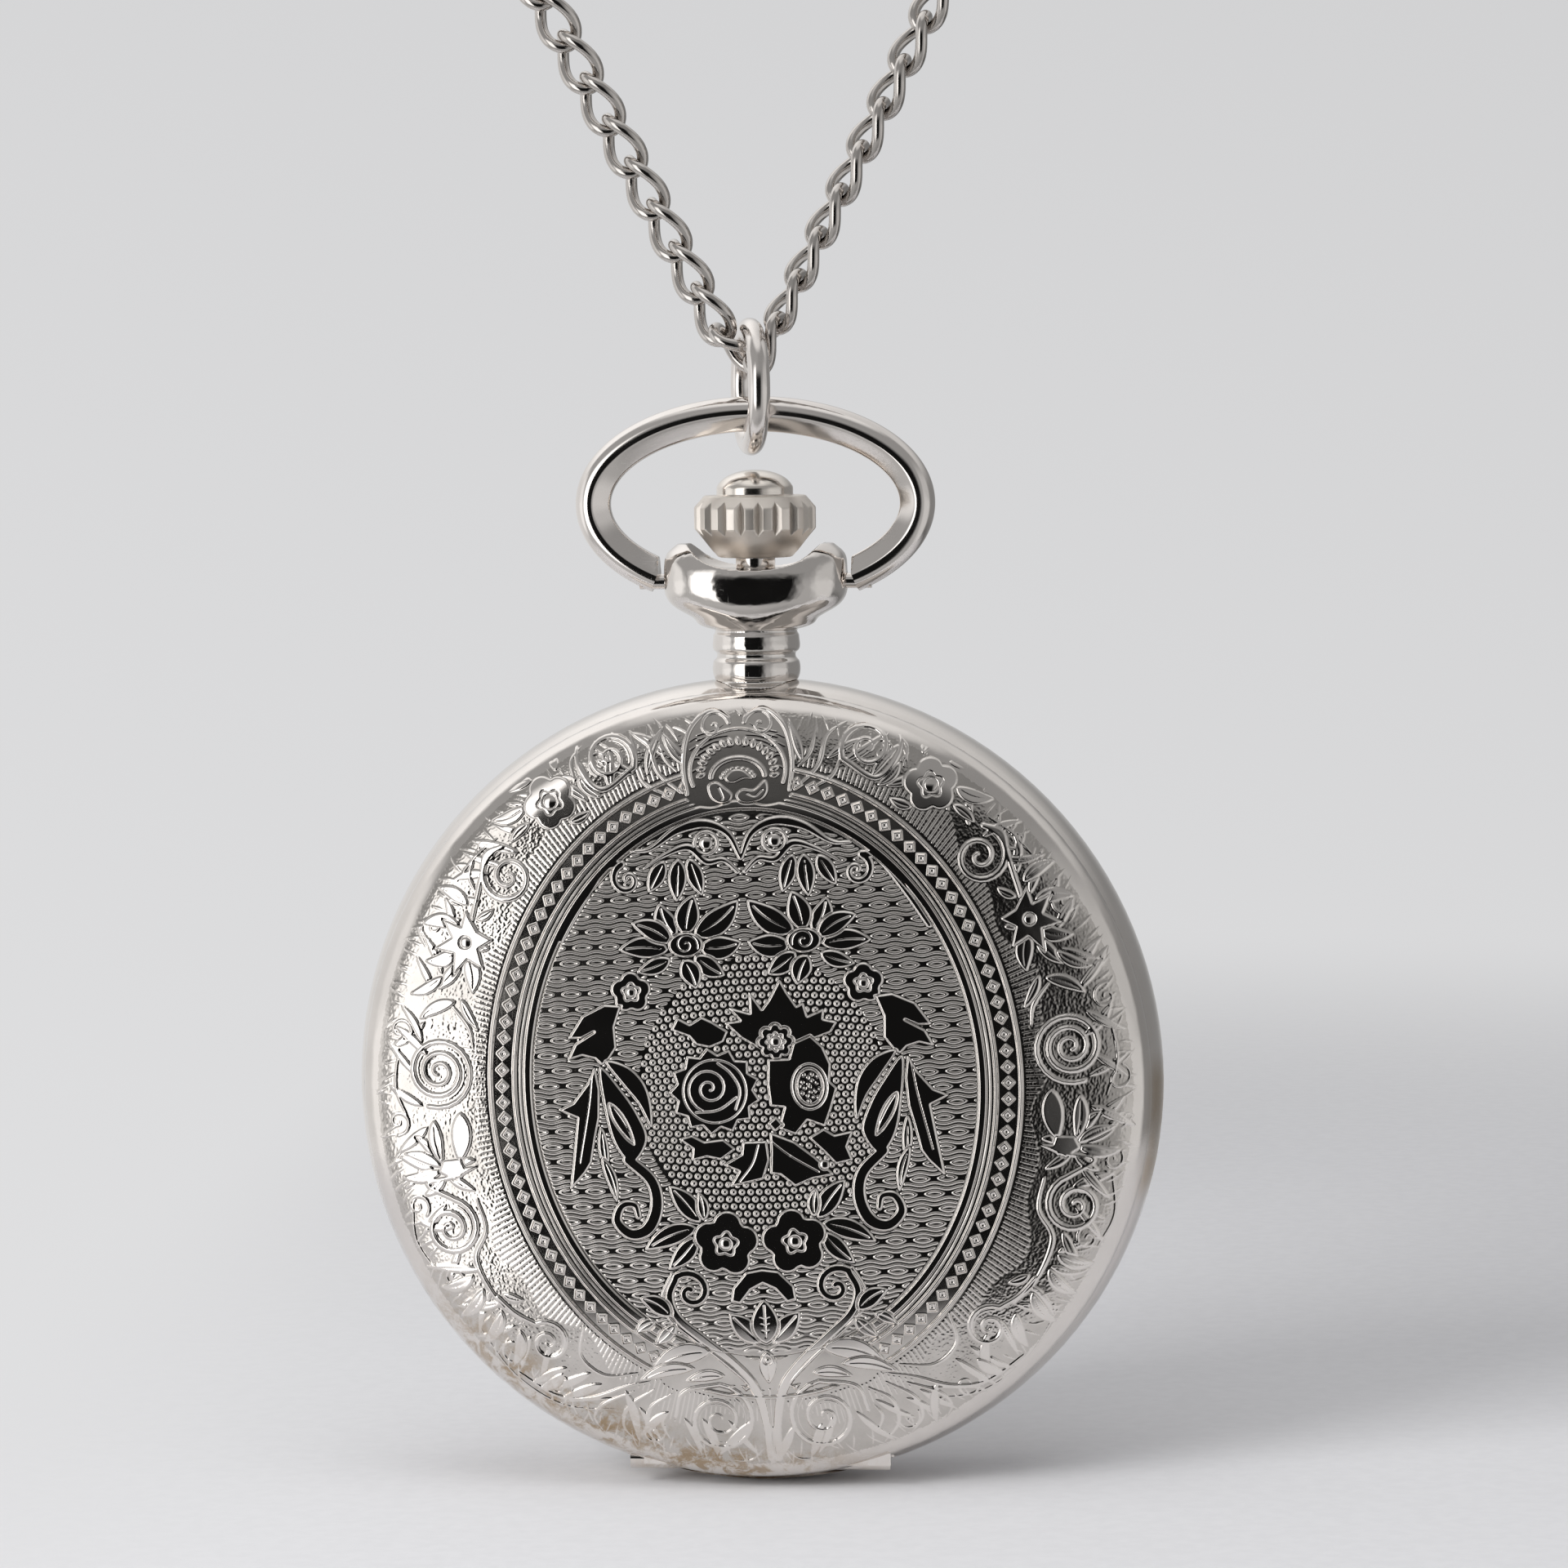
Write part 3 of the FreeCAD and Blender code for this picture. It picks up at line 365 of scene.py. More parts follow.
def draw_waves(x, z):
    """Rows of small lens shapes with wavy lines between them, inside the oval."""
    row_pitch, wave_length, wave_height = 0.88, 1.56, 0.075
    row = np.floor(z / row_pitch)
    t = z / row_pitch - row
    wobble = wave_height * np.cos(2 * np.pi * x / wave_length + np.pi * row)
    height = np.zeros_like(x)
    for level in (0.35, 0.65):
        distance = np.abs(t - level - wobble) * row_pitch
        height = np.maximum(height, ease(1 - distance / 0.082))
    for row_offset, rise in ((0.0, t), (1.0, 1 - t)):
        u = x / wave_length + (row + row_offset) / 2
        u = (u - np.round(u)) * wave_length
        lens = 0.145 * np.clip(1 - (u / 0.50) ** 2, -3, 1)
        distance = np.abs(rise * row_pitch - lens) * 0.8
        height = np.maximum(height, ease(1 - distance / 0.074) * (np.abs(u) < 0.58))
    inside = in_ellipse(x, z, OVAL_X, OVAL_Z, 12.75, 15.55)
    ground[:] = np.where(inside, 0.074 * height, ground)


def draw_ticks(x, z):
    """Short bars of changing length all round the oval, with a bare line inside them."""
    count = 380
    across, up = (x - OVAL_X) / 15.35, (z - OVAL_Z) / 18.35
    angle = np.arctan2(up, across)
    distance = (np.sqrt(across ** 2 + up ** 2) - 1) * 16.6
    off_bar = np.abs(((angle * count / (2 * np.pi)) % 1) - 0.5) * (2 * np.pi * 16.8 / count)
    length = 1.45 + 0.55 * np.sin(angle * 9) + 0.35 * np.sin(angle * 23 + 1)
    bar = ease(1 - off_bar / 0.072) * (distance > 0.22) * ease((length - distance) / 0.1)
    band = (distance > 0.12) & (distance < 2.2)
    ground[:] = np.where(band, np.maximum(ground, 0.055 * bar), ground)
    ground[(distance > 0.0) & (distance < 0.22)] = 0


def draw_dots():
    """Round dots in bent rows on the round, which is first wiped smooth."""
    pitch, radius, height = 0.50, 0.17, 0.115
    ground[in_ellipse(*art_grid(), ROUND_X, 0.0, 7.2, 7.95)] = 0
    row = 0
    z = -9.0
    while z < 9.0:
        x = -9.0 + (pitch / 2 if row % 2 else 0)
        while x < 9.0:
            dot_x = ROUND_X + x
            dot_z = z - 0.012 * x * x * min(max(z / 4, -1), 1)
            if in_ellipse(dot_x, dot_z, ROUND_X, 0.0, 7.15, 7.9):
                spot = on_lid([(dot_x, dot_z)])
                area, grid_x, grid_z = window(spot, radius + 0.03)
                ratio = ((grid_x - spot[0, 0]) ** 2 + (grid_z - spot[0, 1]) ** 2) / radius ** 2
                ground[area] = np.maximum(ground[area], height * ease(1.25 * (1 - ratio)))
            x += pitch
        z += pitch * 0.84
        row += 1


# ---------------------------------------------------------------- rim and border
def draw_rim(rng):
    """Leaves, short fingers and small curls round the edge, partly covered later."""
    for k in range(96):
        angle = math.radians(k * 3.75 + rng.uniform(-1.0, 1.0))
        inner = 19.5 + rng.uniform(-.5, .3)
        outer = 21.4 + rng.uniform(-.3, .8)
        lean = rng.choice([-1, 1]) * rng.uniform(.04, .10)
        width = rng.uniform(.20, .32)
        leaf(at_angle(inner, angle), at_angle(outer, angle + lean), width,
             bend=rng.uniform(-.25, .25), height=0.085, vein=0.03, slope=0.07)
    t = np.linspace(0, 1, 5)[:, None]
    for k in range(210):
        angle = math.radians(k * 360 / 210 + rng.uniform(-.5, .5))
        inner = 20.9 + rng.uniform(-.5, .3)
        outer = inner + rng.uniform(.7, 1.35)
        lean = rng.uniform(-.015, .045)
        start = np.array(at_angle(inner, angle))
        control = np.array(at_angle((inner + outer) / 2, angle + lean * .2))
        end = np.array(at_angle(outer, angle + lean))
        finger = (1 - t) ** 2 * start + 2 * t * (1 - t) * control + t * t * end
        stroke(finger, (0.03, 0.075, 0.05), 0.075, 0.06)
    for k in range(26):
        degrees = k * 360 / 26 + rng.uniform(-3, 3)
        # no curls at the crest above and at the scrolls below
        if abs(degrees - 90) < 14 or abs(degrees - 270) < 16:
            continue
        start = degrees + rng.uniform(60, 150)
        centre = at_angle(20.9, math.radians(degrees))
        curl = spiral(centre, .10, .80, 1.3, start, rng.choice([-1, 1]))
        stroke(curl, (.07, .09, .05), 0.09, 0.07)


BORDER_LEAVES = [  # base x, base z, tip x, tip z, half width, bend
    (9.3, 18.6, 7.9, 17.3, .30, .2), (12.0, 18.4, 13.9, 17.6, .42, .25),
    (12.4, 17.0, 14.6, 16.2, .42, -.25), (12.2, 16.0, 13.4, 14.9, .30, .1),
    (9.9, 16.0, 8.6, 16.6, .3, .1), (10.6, 18.9, 11.4, 20.2, .34, .15),
    (16.0, 11.4, 17.9, 12.5, .40, .2), (15.6, 10.6, 14.5, 11.2, .26, .1),
    (16.6, 10.3, 18.9, 10.4, .44, .25), (16.2, 9.4, 14.8, 8.9, .34, .1),
    (16.4, 9.0, 18.8, 8.3, .46, -.3), (16.2, 8.6, 16.0, 6.3, .50, -.2),
    (16.6, 8.4, 18.3, 6.6, .40, -.2), (17.7, 7.4, 19.8, 6.4, .34, -.2),
    (17.0, 5.9, 19.3, 4.9, .38, .2), (16.7, 6.1, 15.7, 4.2, .28, .1),
    (18.3, -3.6, 19.9, -1.9, .36, .2), (18.4, -3.7, 20.7, -2.9, .34, .2),
    (18.4, -3.9, 20.9, -4.3, .36, -.2), (18.1, -4.1, 16.4, -5.1, .30, .1),
    (18.0, -3.7, 16.3, -3.3, .30, -.1), (18.2, -4.3, 19.6, -5.4, .30, -.1),
    (16.9, -10.1, 19.1, -10.8, .40, -.3), (16.4, -10.9, 18.0, -12.6, .40, -.3),
    (15.4, -12.2, 16.7, -14.2, .40, -.3), (15.3, -11.2, 14.0, -11.6, .28, .1),
    (14.4, -13.4, 15.0, -15.6, .38, -.25), (12.0, -16.0, 13.6, -17.0, .36, -.2)]
BORDER_SWEEPS = [  # (start, middle, end) half widths, then points x, z
    ((.06, .13, .05), (3.3, 17.4), (4.6, 18.6), (5.2, 20.3), (6.3, 21.0)),
    ((.05, .11, .04), (3.5, 18.6), (4.2, 19.4), (4.6, 20.8)),
    ((.05, .11, .04), (4.1, 17.3), (5.4, 18.0), (5.9, 19.0)),
    ((.05, .12, .05), (9.0, 20.4), (9.7, 19.4), (9.5, 18.3)),
    ((.05, .14, .05), (15.4, 14.6), (15.9, 13.2), (15.6, 12.2)),
    ((.04, .12, .05), (14.2, 15.2), (15.5, 14.2), (16.7, 12.8)),
    ((.05, .10, .05), (20.6, 3.2), (20.9, 1.0), (20.2, -1.0)),
    ((.06, .14, .06), (16.1, 3.2), (16.3, 4.4), (17.2, 5.6)),
    ((.05, .10, .05), (20.3, -5.6), (20.3, -8.0), (19.2, -9.9)),
    ((.08, .16, .08), (16.4, -5.6), (16.0, -7.4), (16.7, -9.2), (15.6, -11.6), (14.3, -12.8)),
    ((.08, .17, .05), (14.7, -16.0), (12.6, -17.4), (10.6, -17.6), (8.4, -16.9), (6.9, -16.6)),
    ((.05, .10, .04), (16.9, -13.2), (14.9, -16.2), (12.2, -18.0), (9.0, -18.3)),
    ((.06, .14, .05), (10.6, -13.2), (10.9, -15.0), (9.6, -16.2), (7.6, -16.1))]


def draw_border(side):
    """Leaves and sweeps go first, scrolls and flower over them."""
    leaves(side, BORDER_LEAVES, height=0.10, vein=0.035, slope=0.08)
    sweeps(side, BORDER_SWEEPS)
    scroll(side, (7.45, 19.5), 1.55, 1.8, 200, -1, .19, [(9.4, 20.5), (9.2, 19.0), (7.9, 17.75)])
    flower((side * 11.0, 17.2), 1.45, 5, 20 * side, 0.12)
    scroll(side, (13.6, 13.0), 1.75, 1.9, 80, -1, .19, [(15.9, 10.4), (15.2, 13.0), (14.9, 14.3)])
    # a pointed star leaf with a domed centre
    shape(flip(side, [(15.5, 9.9), (16.2, 11.2), (16.5, 10.2), (17.6, 10.7), (17.1, 9.6),
                      (18.2, 9.0), (17.0, 8.7), (17.1, 7.4), (16.2, 8.3), (15.2, 7.7),
                      (15.5, 8.9), (14.6, 9.4)]), slope=0.08)
    dome((side * 16.3, 9.3), 0.34, 0.15)
    scroll(side, (18.25, 1.9), 2.15, 3.0, -70, -1, .17, height=.13)
    # two almond leaves over a jagged cuff
    leaves(side, [(17.1, -.45, 17.3, -3.5, .62, -.1)], height=0.13, vein=0)
    leaves(side, [(18.7, -.9, 18.3, -3.6, .44, .15)])
    shape(flip(side, [(16.1, -3.6), (17.0, -3.7), (17.2, -3.2), (18.3, -3.3), (18.6, -4.0),
                      (17.7, -4.5), (17.0, -4.1)]), slope=0.08)
    scroll(side, (18.1, -7.3), 1.75, 2.1, 100, 1, .18, [(17.3, -4.2), (19.3, -4.7)])
    scroll(side, (12.8, -14.2), 1.35, 1.7, 60, 1, .17, [(15.6, -11.4), (14.6, -12.4)])


# ---------------------------------------------------------------- oval frame
OVAL_RINGS = [  # offset from the outer ring, half width, height, slope
    (0, .13, .16, .09), (-1.40, .13, .15, .08), (-2.16, .25, .14, .09), (-1.74, .05, .09, .05)]


def draw_oval_frame():
    """Four rings, and a row of hollow diamonds between the outer ones."""
    centre = (OVAL_X, OVAL_Z)
    for offset, width, height, slope in OVAL_RINGS:
        stroke(ellipse(centre, OVAL_A + offset, OVAL_B + offset, 260), width, height, slope,
               gap=.10)
    path = ellipse(centre, OVAL_A - .71, OVAL_B - .71, 4000)
    along = np.concatenate([[0], np.cumsum(np.linalg.norm(np.diff(path, axis=0), axis=1))])
    count = int(along[-1] / 0.93)
    for k in range(count):
        i = int(np.searchsorted(along, (k + .5) * along[-1] / count)) - 1
        run = path[(i + 1) % len(path)] - path[i]
        angle = math.atan2(run[1], run[0]) + ART_TURN
        spot = on_lid([path[i]])
        area, grid_x, grid_z = window(spot, .5)
        x, z = grid_x - spot[0, 0], grid_z - spot[0, 1]
        reach = (np.abs(x * math.cos(angle) + z * math.sin(angle))
                 + np.abs(-x * math.sin(angle) + z * math.cos(angle)))
        hollow = 1 - .55 * ease((.20 - reach) / .10)
        motif[area] = np.maximum(motif[area], 0.16 * np.clip((.415 - reach) / .13, 0, 1) * hollow)


# ---------------------------------------------------------------- crest at the top
CREST = [(-3.0, 17.0), (-3.2, 18.6), (-2.9, 20.3), (-1.9, 21.8), (0, 21.6), (1.9, 21.8),
         (2.9, 20.3), (3.2, 18.6), (3.0, 17.0), (1.6, 16.5), (0, 16.9), (-1.6, 16.5)]
CREST_CURLS = [
    [(-1.75, 17.75), (-1.25, 17.95), (-.75, 17.6), (-.35, 17.2), (-.55, 16.78), (-1.1, 16.72),
     (-1.6, 17.05)],
    [(-.15, 17.15), (.25, 17.5), (.9, 17.45), (1.55, 17.95), (1.7, 17.35), (1.35, 16.85),
     (.6, 16.66), (.05, 16.78)],
    [(-.75, 18.2), (-.3, 18.6), (.35, 18.55), (.85, 18.05), (.35, 18.05), (-.2, 17.85),
     (-.6, 17.9)]]


def draw_crest():
    erase(spline(CREST, 6, closed=True))
    for side in (1, -1):
        scroll(side, (1.38, 21.1), 0.95, 1.25, 170, -1, .15, companion=False,
               tail=[(2.95, 17.3), (3.15, 19.0), (2.75, 20.9), (1.6, 22.0), (.6, 21.6)])
        for k in range(5):
            rib = [(.35 + .1 * k, 19.9 + .32 * k), (1.3, 20.0 + .22 * k), (2.3, 19.5 + .28 * k)]
            stroke(spline(flip(side, rib), 5), (.035, .05), .06, .05)
    # shell: an arch, a fan of leaflets, an inner arch and a fan of beads
    stroke(ellipse((0, 18.55), 2.75, 2.35, 60, -20, 200), .10, .12, .09)
    for degrees in range(-8, 190, 12):
        angle = math.radians(degrees)
        middle = np.array([2.15 * math.cos(angle), 18.45 + 1.78 * math.sin(angle)])
        run = np.array(at_angle(1, angle + .3))
        outline, _ = leaf_outline(middle - .30 * run, middle + .28 * run, .17)
        shape(outline, slope=.08, gap=.05)
    stroke(ellipse((0, 18.1), 1.55, 1.15, 40, 5, 175), .14, .12, .09)
    for degrees in range(18, 170, 18):
        angle = math.radians(degrees)
        dome((.95 * math.cos(angle), 18.0 + .62 * math.sin(angle)), .13, .09, gap=.04)
    # three unequal curls fill the shell
    for outline in CREST_CURLS:
        shape(spline(outline, 5, closed=True), slope=.09)
    groove(spline([(-1.1, 17.6), (-.9, 17.1), (-.95, 16.9)], 5), .04, .09, .05)
    groove(spline([(.5, 17.2), (.95, 17.05), (1.4, 17.4)], 5), .04, .09, .05)
    for z in (19.1, 19.75, 20.4, 20.9):
        for side in (-1, 1):
            hook = flip(side, [(2.72, z - .6), (2.35, z - .42), (2.0, z - .55)])
            stroke(spline(hook, 5), (.035, .04), .06, .05)


# ---------------------------------------------------------------- scrolls at the bottom
FOOT_BED = [(-4.3, -14.6), (-6.3, -16.3), (-5.0, -17.3), (-2.0, -17.0), (0, -17.4),
            (2.0, -17.0), (5.0, -17.3), (6.3, -16.3), (4.3, -14.6), (2.4, -14.9),
            (0, -15.6), (-2.4, -14.9)]
FOOT_SWEEPS = [  # (start, middle, end) half widths, then points x, z
    ((.05, .16, .05), (5.7, -17.4), (7.0, -18.2), (7.3, -19.6), (6.4, -20.8)),
    ((.05, .15, .05), (6.7, -17.1), (8.3, -18.1), (8.7, -19.3), (8.0, -20.3)),
    ((.05, .14, .05), (7.9, -17.2), (9.7, -17.9), (10.4, -18.7), (10.0, -19.6)),
    ((.04, .12, .04), (5.9, -18.4), (6.4, -19.2), (6.0, -20.2)),
    ((.05, .12, .04), (9.3, -17.6), (11.3, -17.7), (12.4, -17.9)),
    ((.04, .09, .04), (2.0, -21.7), (3.8, -22.0), (6.0, -21.4), (7.8, -20.9)),
    ((.04, .09, .04), (.6, -20.9), (1.4, -21.6), (2.6, -21.6))]
FOOT_LEAVES = [  # base x, base z, tip x, tip z, half width, bend
    (5.4, -12.8, 7.2, -11.6, .54, .2), (5.2, -13.2, 6.5, -14.4, .42, -.1),
    (6.3, -13.0, 7.6, -13.7, .36, .1), (3.2, -14.9, 6.8, -15.9, .66, .35),
    (2.5, -16.4, 4.9, -16.7, .36, .2), (4.2, -15.9, 7.6, -16.6, .42, .3)]


def draw_foot(side):
    sweeps(side, FOOT_SWEEPS)
    scroll(side, (3.08, -19.1), 2.2, 2.15, 95, 1, .17, [(5.6, -18.8), (5.0, -17.3)])
    # a double stem; its main line ends in the inner scroll
    for offset, width, height in ((0, .27, .15), (.50, .13, .12)):
        stem = [(.22 + offset * .3, -21.6), (.30 + offset * .4, -19.2),
                (.75 + offset * .6, -17.2), (1.9 + offset, -15.7), (3.6 + offset, -14.2),
                (5.0 + offset, -12.9), (5.45 + offset * .8, -11.6),
                (5.0 + offset * .4, -10.5 + offset * .5)]
        line = spline(flip(side, stem), 8)
        if offset == 0:
            end = spiral((side * 4.2, -11.35), .14, 1.22, 1.15, flip_angle(side, 50), side)
            line = np.concatenate([line[:-1], end])
        stroke(line, (width * .7, width, width * .8), height, .08)
    leaves(side, FOOT_LEAVES)


def draw_palmette():
    """Three leaves with chevrons, a collar above them and a drop below."""
    for base, tip, width in (((-.35, -14.5), (-2.05, -12.7), .66),
                             ((.35, -14.5), (2.05, -12.7), .66),
                             ((0, -14.6), (0, -11.9), .80)):
        leaf(base, tip, width, height=.13, vein=.06)
    for k in range(3):
        reach, drop = .28 - .05 * k, .38 * k
        groove([(-reach, -13.0 - drop), (0, -13.12 - drop), (reach, -13.0 - drop)], .04, .04, .04)
    stroke(spline([(-1.15, -14.25), (0, -14.75), (1.15, -14.25)], 8), .09, .13, .08)
    shape([(-1.9, -12.0), (-1.75, -11.2), (-.95, -10.3), (0, -10.15), (.95, -10.3),
           (1.8, -11.2), (1.9, -12.0), (1.35, -12.15), (.7, -11.35), (0, -11.0),
           (-.7, -11.35), (-1.35, -12.15)], .13)
    leaf((0, -14.95), (0, -17.0), .52, height=.13, vein=.07)
    dome((0, -15.55), .2, .16)
    stroke([(0, -17.3), (0, -21.8)], (.06, .05), .08, .06)


# ---------------------------------------------------------------- inside the oval
def draw_garland(side):
    main = [(0, 13.6), (.7, 15.0), (2.0, 15.6), (3.6, 15.3), (5.2, 14.3), (6.3, 14.2)]
    sweeps(side, [((.15, .29, .08), *main)], .12, .09)
    lower = [(.2, 12.8), (1.0, 13.5), (2.0, 13.45), (3.0, 14.3), (4.4, 13.9), (5.6, 13.2)]
    sweeps(side, [((.12, .21, .07), *lower)], .11, .08)
    dome((side * 1.97, 14.5), .36, .15)
    stroke(ellipse((side * 1.97, 14.5), .66, .64, 40), .10, .11, .07)
    leaves(side, [(3.0, 13.7, 2.3, 11.5, .50, 0), (4.4, 13.6, 5.4, 11.8, .50, 0),
                  (3.6, 13.7, 3.8, 11.2, .54, 0)], vein=.04)
    scroll(side, (6.6, 12.6), .95, 1.2, 70, -1, .25, [(10.6, 9.3), (9.3, 11.4), (7.9, 13.3)],
           companion=False)


def draw_spray(side):
    """A burst of leaves round an oval boss, and a flower beside it."""
    leaves(side, [(2.9, 9.3, .25, 11.2, .74, .25), (3.9, 9.2, 4.8, 11.2, .62, -.2),
                  (3.4, 9.3, 2.8, 11.6, .70, -.1), (2.6, 8.6, .15, 8.8, .68, .2),
                  (4.4, 8.5, 7.3, 8.6, .62, .15), (4.2, 8.9, 6.5, 10.1, .60, .2),
                  (4.3, 8.0, 6.3, 7.3, .48, -.1), (2.9, 8.1, 1.2, 6.9, .58, .1),
                  (3.6, 7.9, 2.9, 6.2, .60, -.1)])
    boss = (side * 3.4, 8.75)
    shape(ellipse(boss, 1.0, .72, 30), .14, .09)
    groove(spiral(boss, .10, .72, 1.4, flip_angle(side, 200), -side), .04, .08, .05)
    flower((side * 6.7, 6.15), 1.08, 5, 90, .13, button=.27)


def draw_plume(side):
    """A tall plume: head, side leaves, long leaf and curled tail."""
    def curve(samples, *points, closed=False):
        return spline(flip(side, points), samples, closed)

    shape(flip(side, [(7.3, 5.4), (8.3, 5.5), (9.6, 4.9), (10.5, 3.6), (9.7, 3.6), (8.97, 3.95),
                      (10.1, 3.3), (10.6, 2.35), (9.7, 2.6), (9.0, 2.4), (8.6, 2.0), (8.2, 2.3),
                      (7.7, 3.0), (7.75, 4.2)]), .13)
    shape(curve(5, (8.4, 2.25), (7.1, 1.9), (6.2, .9), (5.85, -.4), (5.92, -1.7), (6.6, -.3),
                (7.5, .9), closed=True), .13)
    shape(curve(5, (8.75, 1.9), (7.5, .5), (6.6, -1.0), (6.2, -2.4), (7.1, -3.7), (8.0, -2.8),
                (8.5, -1.0), closed=True), .13)
    leaves(side, [(8.3, -.2, 7.0, -2.6, .30, 0)], height=.10, vein=0, slope=.06)
    groove(curve(5, (8.2, -.3), (7.6, -1.2), (7.0, -2.4), (7.4, -2.3), (8.1, -1.2)),
           .035, .11, .05)
    shape(flip(side, [(9.0, 2.0), (9.5, 1.0), (10.4, -.1), (11.3, -.5), (10.2, -1.0),
                      (10.5, -3.0), (10.85, -5.2), (9.9, -4.2), (9.5, -3.6), (9.2, -2.2),
                      (8.9, -1.0), (8.8, .6)]), .13)
    leaves(side, [(8.85, -1.5, 8.65, -4.5, .30, 0), (8.9, -3.3, 8.15, -6.0, .32, -.15)], vein=.04)
    groove(curve(8, (9.2, 1.6), (9.5, -.4), (10.2, -3.6)), .035, .10, .05)
    stroke(curve(7, (7.35, -3.5), (6.1, -4.75), (5.85, -6.2), (6.4, -7.5), (7.4, -7.85),
                 (8.2, -7.1), (7.9, -6.2), (7.15, -6.15), (6.95, -6.8)), (.34, .40, .18), .13, .10)


def draw_lower_flower(side):
    leaves(side, [(3.4, -7.3, 5.1, -5.1, .62, .1), (3.6, -8.1, 5.4, -10.0, .56, -.1),
                  (3.6, -7.6, 6.7, -8.8, .60, .2), (3.2, -7.2, 3.4, -5.5, .36, .1)])
    flower((side * 2.0, -8.6), 1.72, 5, 90 + 8 * side, .13, lobe=.20, button=.20)


def draw_nosegay():
    """The bunch in the middle: foliage, a small flower, a rose and a seeded bloom."""
    shape([(-1.4, 4.2), (-.5, 4.3), (-1.2, 5.1), (.1, 4.7), (.1, 6.0), (.8, 4.9), (1.2, 5.4),
           (1.9, 6.6), (2.3, 5.8), (2.8, 5.0), (3.2, 5.2), (3.4, 4.4), (4.4, 4.8), (4.3, 4.2),
           (5.1, 4.0), (4.7, 3.4), (3.8, 3.1), (3.0, 2.5), (2.5, 2.9), (2.2, 2.1), (.9, 2.2),
           (.6, 2.6), (-.5, 3.3)], .13)
    flower((1.5, 3.0), .98, 8, 0, .13, lobe=.14, button=.32)
    shape([(-4.5, 3.9), (-4.1, 4.6), (-3.4, 4.2), (-2.7, 4.6), (-2.1, 4.3), (-1.2, 3.7),
           (-1.5, 3.1), (-2.3, 2.8), (-3.1, 3.0), (-3.5, 3.5)])
    # rose on the left, with a scalloped edge
    rose = (-2.15, .28)
    radius = 2.45 + .22 * np.where(np.arange(26) % 2, 1, -1)
    angles = np.linspace(0, 2 * np.pi, 26, endpoint=False)
    shape(polar(rose, radius, .95 * radius, angles), .13)
    groove(ellipse(rose, 1.82, 1.82, 60), .05)
    groove(spiral((-2.45, .45), .10, 1.35, 1.9, 250, -1), .06, slope=.07)
    groove(spline([(-1.9, 1.9), (-1.2, 1.3), (-.7, .3), (-1.0, -.8)], 6), .06)
    groove(spline([(-3.3, -.9), (-2.0, -.8), (-.9, -.1)], 6), .06)
    # bloom on the right, with seeds laid out at the golden angle
    shape([(1.0, 2.0), (2.2, 2.0), (2.5, 2.9), (3.5, 3.3), (4.2, 2.6), (4.6, 1.6), (4.5, .6),
           (4.9, .2), (4.5, -1.0), (4.1, -2.0), (3.1, -1.6), (2.4, -2.4), (1.4, -2.0),
           (1.8, -.8), (1.0, -.7), (.9, .6)], .13)
    bloom = (3.32, .35)
    groove(ellipse(bloom, 1.02, 1.32, 40), .05)
    shape(ellipse(bloom, .76, 1.05, 30), slope=.08)
    for k in range(19):
        x, z = at_angle(.19 * math.sqrt(k), k * 2.39996)
        dome((bloom[0] + x * .8, bloom[1] + z * 1.15), .10, .15, gap=.01)
    # leaves under the bunch
    shape([(.8, -1.7), (1.3, -1.3), (1.7, -1.8), (1.2, -2.2)], .13)
    shape([(-.7, -2.7), (.7, -2.7), (.8, -3.8), (.4, -4.9), (-1.6, -5.3), (-1.0, -4.4),
           (-1.9, -4.0), (-.8, -3.4)], .13)
    shape([(.9, -2.2), (2.3, -2.8), (3.4, -3.7), (4.5, -4.8), (3.2, -5.0), (2.2, -5.4),
           (1.4, -4.7), (.8, -4.6), (.9, -3.2)], .13)
    groove(spline([(.8, -2.6), (2.0, -3.6), (3.6, -4.6)], 6), .045)
    groove(spline([(.2, -2.9), (-.2, -4.0), (-1.0, -5.0)], 6), .045)
    shape([(3.1, -2.6), (4.0, -2.1), (4.6, -2.5), (5.7, -2.3), (5.3, -3.2), (5.6, -4.0),
           (4.6, -4.2), (3.9, -3.4)])
    shape([(-4.4, -2.4), (-3.6, -2.2), (-2.9, -2.6), (-1.8, -2.5), (-1.1, -3.1), (-2.0, -3.7),
           (-2.8, -3.5), (-3.7, -3.7), (-3.6, -3.0)])
    dome((3.95, -4.2), .28, .12)


def draw_relief():
    """Draws the cover and returns its heights, slightly rounded as plating leaves them."""
    rng = np.random.default_rng(7)
    x, z = art_grid()
    draw_grain(rng, x, z)
    draw_waves(x, z)
    draw_ticks(x, z)
    draw_rim(rng)
    for side in (1, -1):
        draw_border(side)
    draw_oval_frame()
    draw_crest()
    erase(spline(FOOT_BED, 6, closed=True))
    for side in (1, -1):
        draw_foot(side)
    draw_palmette()
    draw_dots()
    for side in (1, -1):
        draw_garland(side)
        draw_spray(side)
        draw_plume(side)
        draw_lower_flower(side)
    draw_nosegay()
    heights = ground * (1 - clearance) + motif
    return heights * 0.6 + 0.1 * (np.roll(heights, 1, 0) + np.roll(heights, -1, 0)
                                  + np.roll(heights, 1, 1) + np.roll(heights, -1, 1))


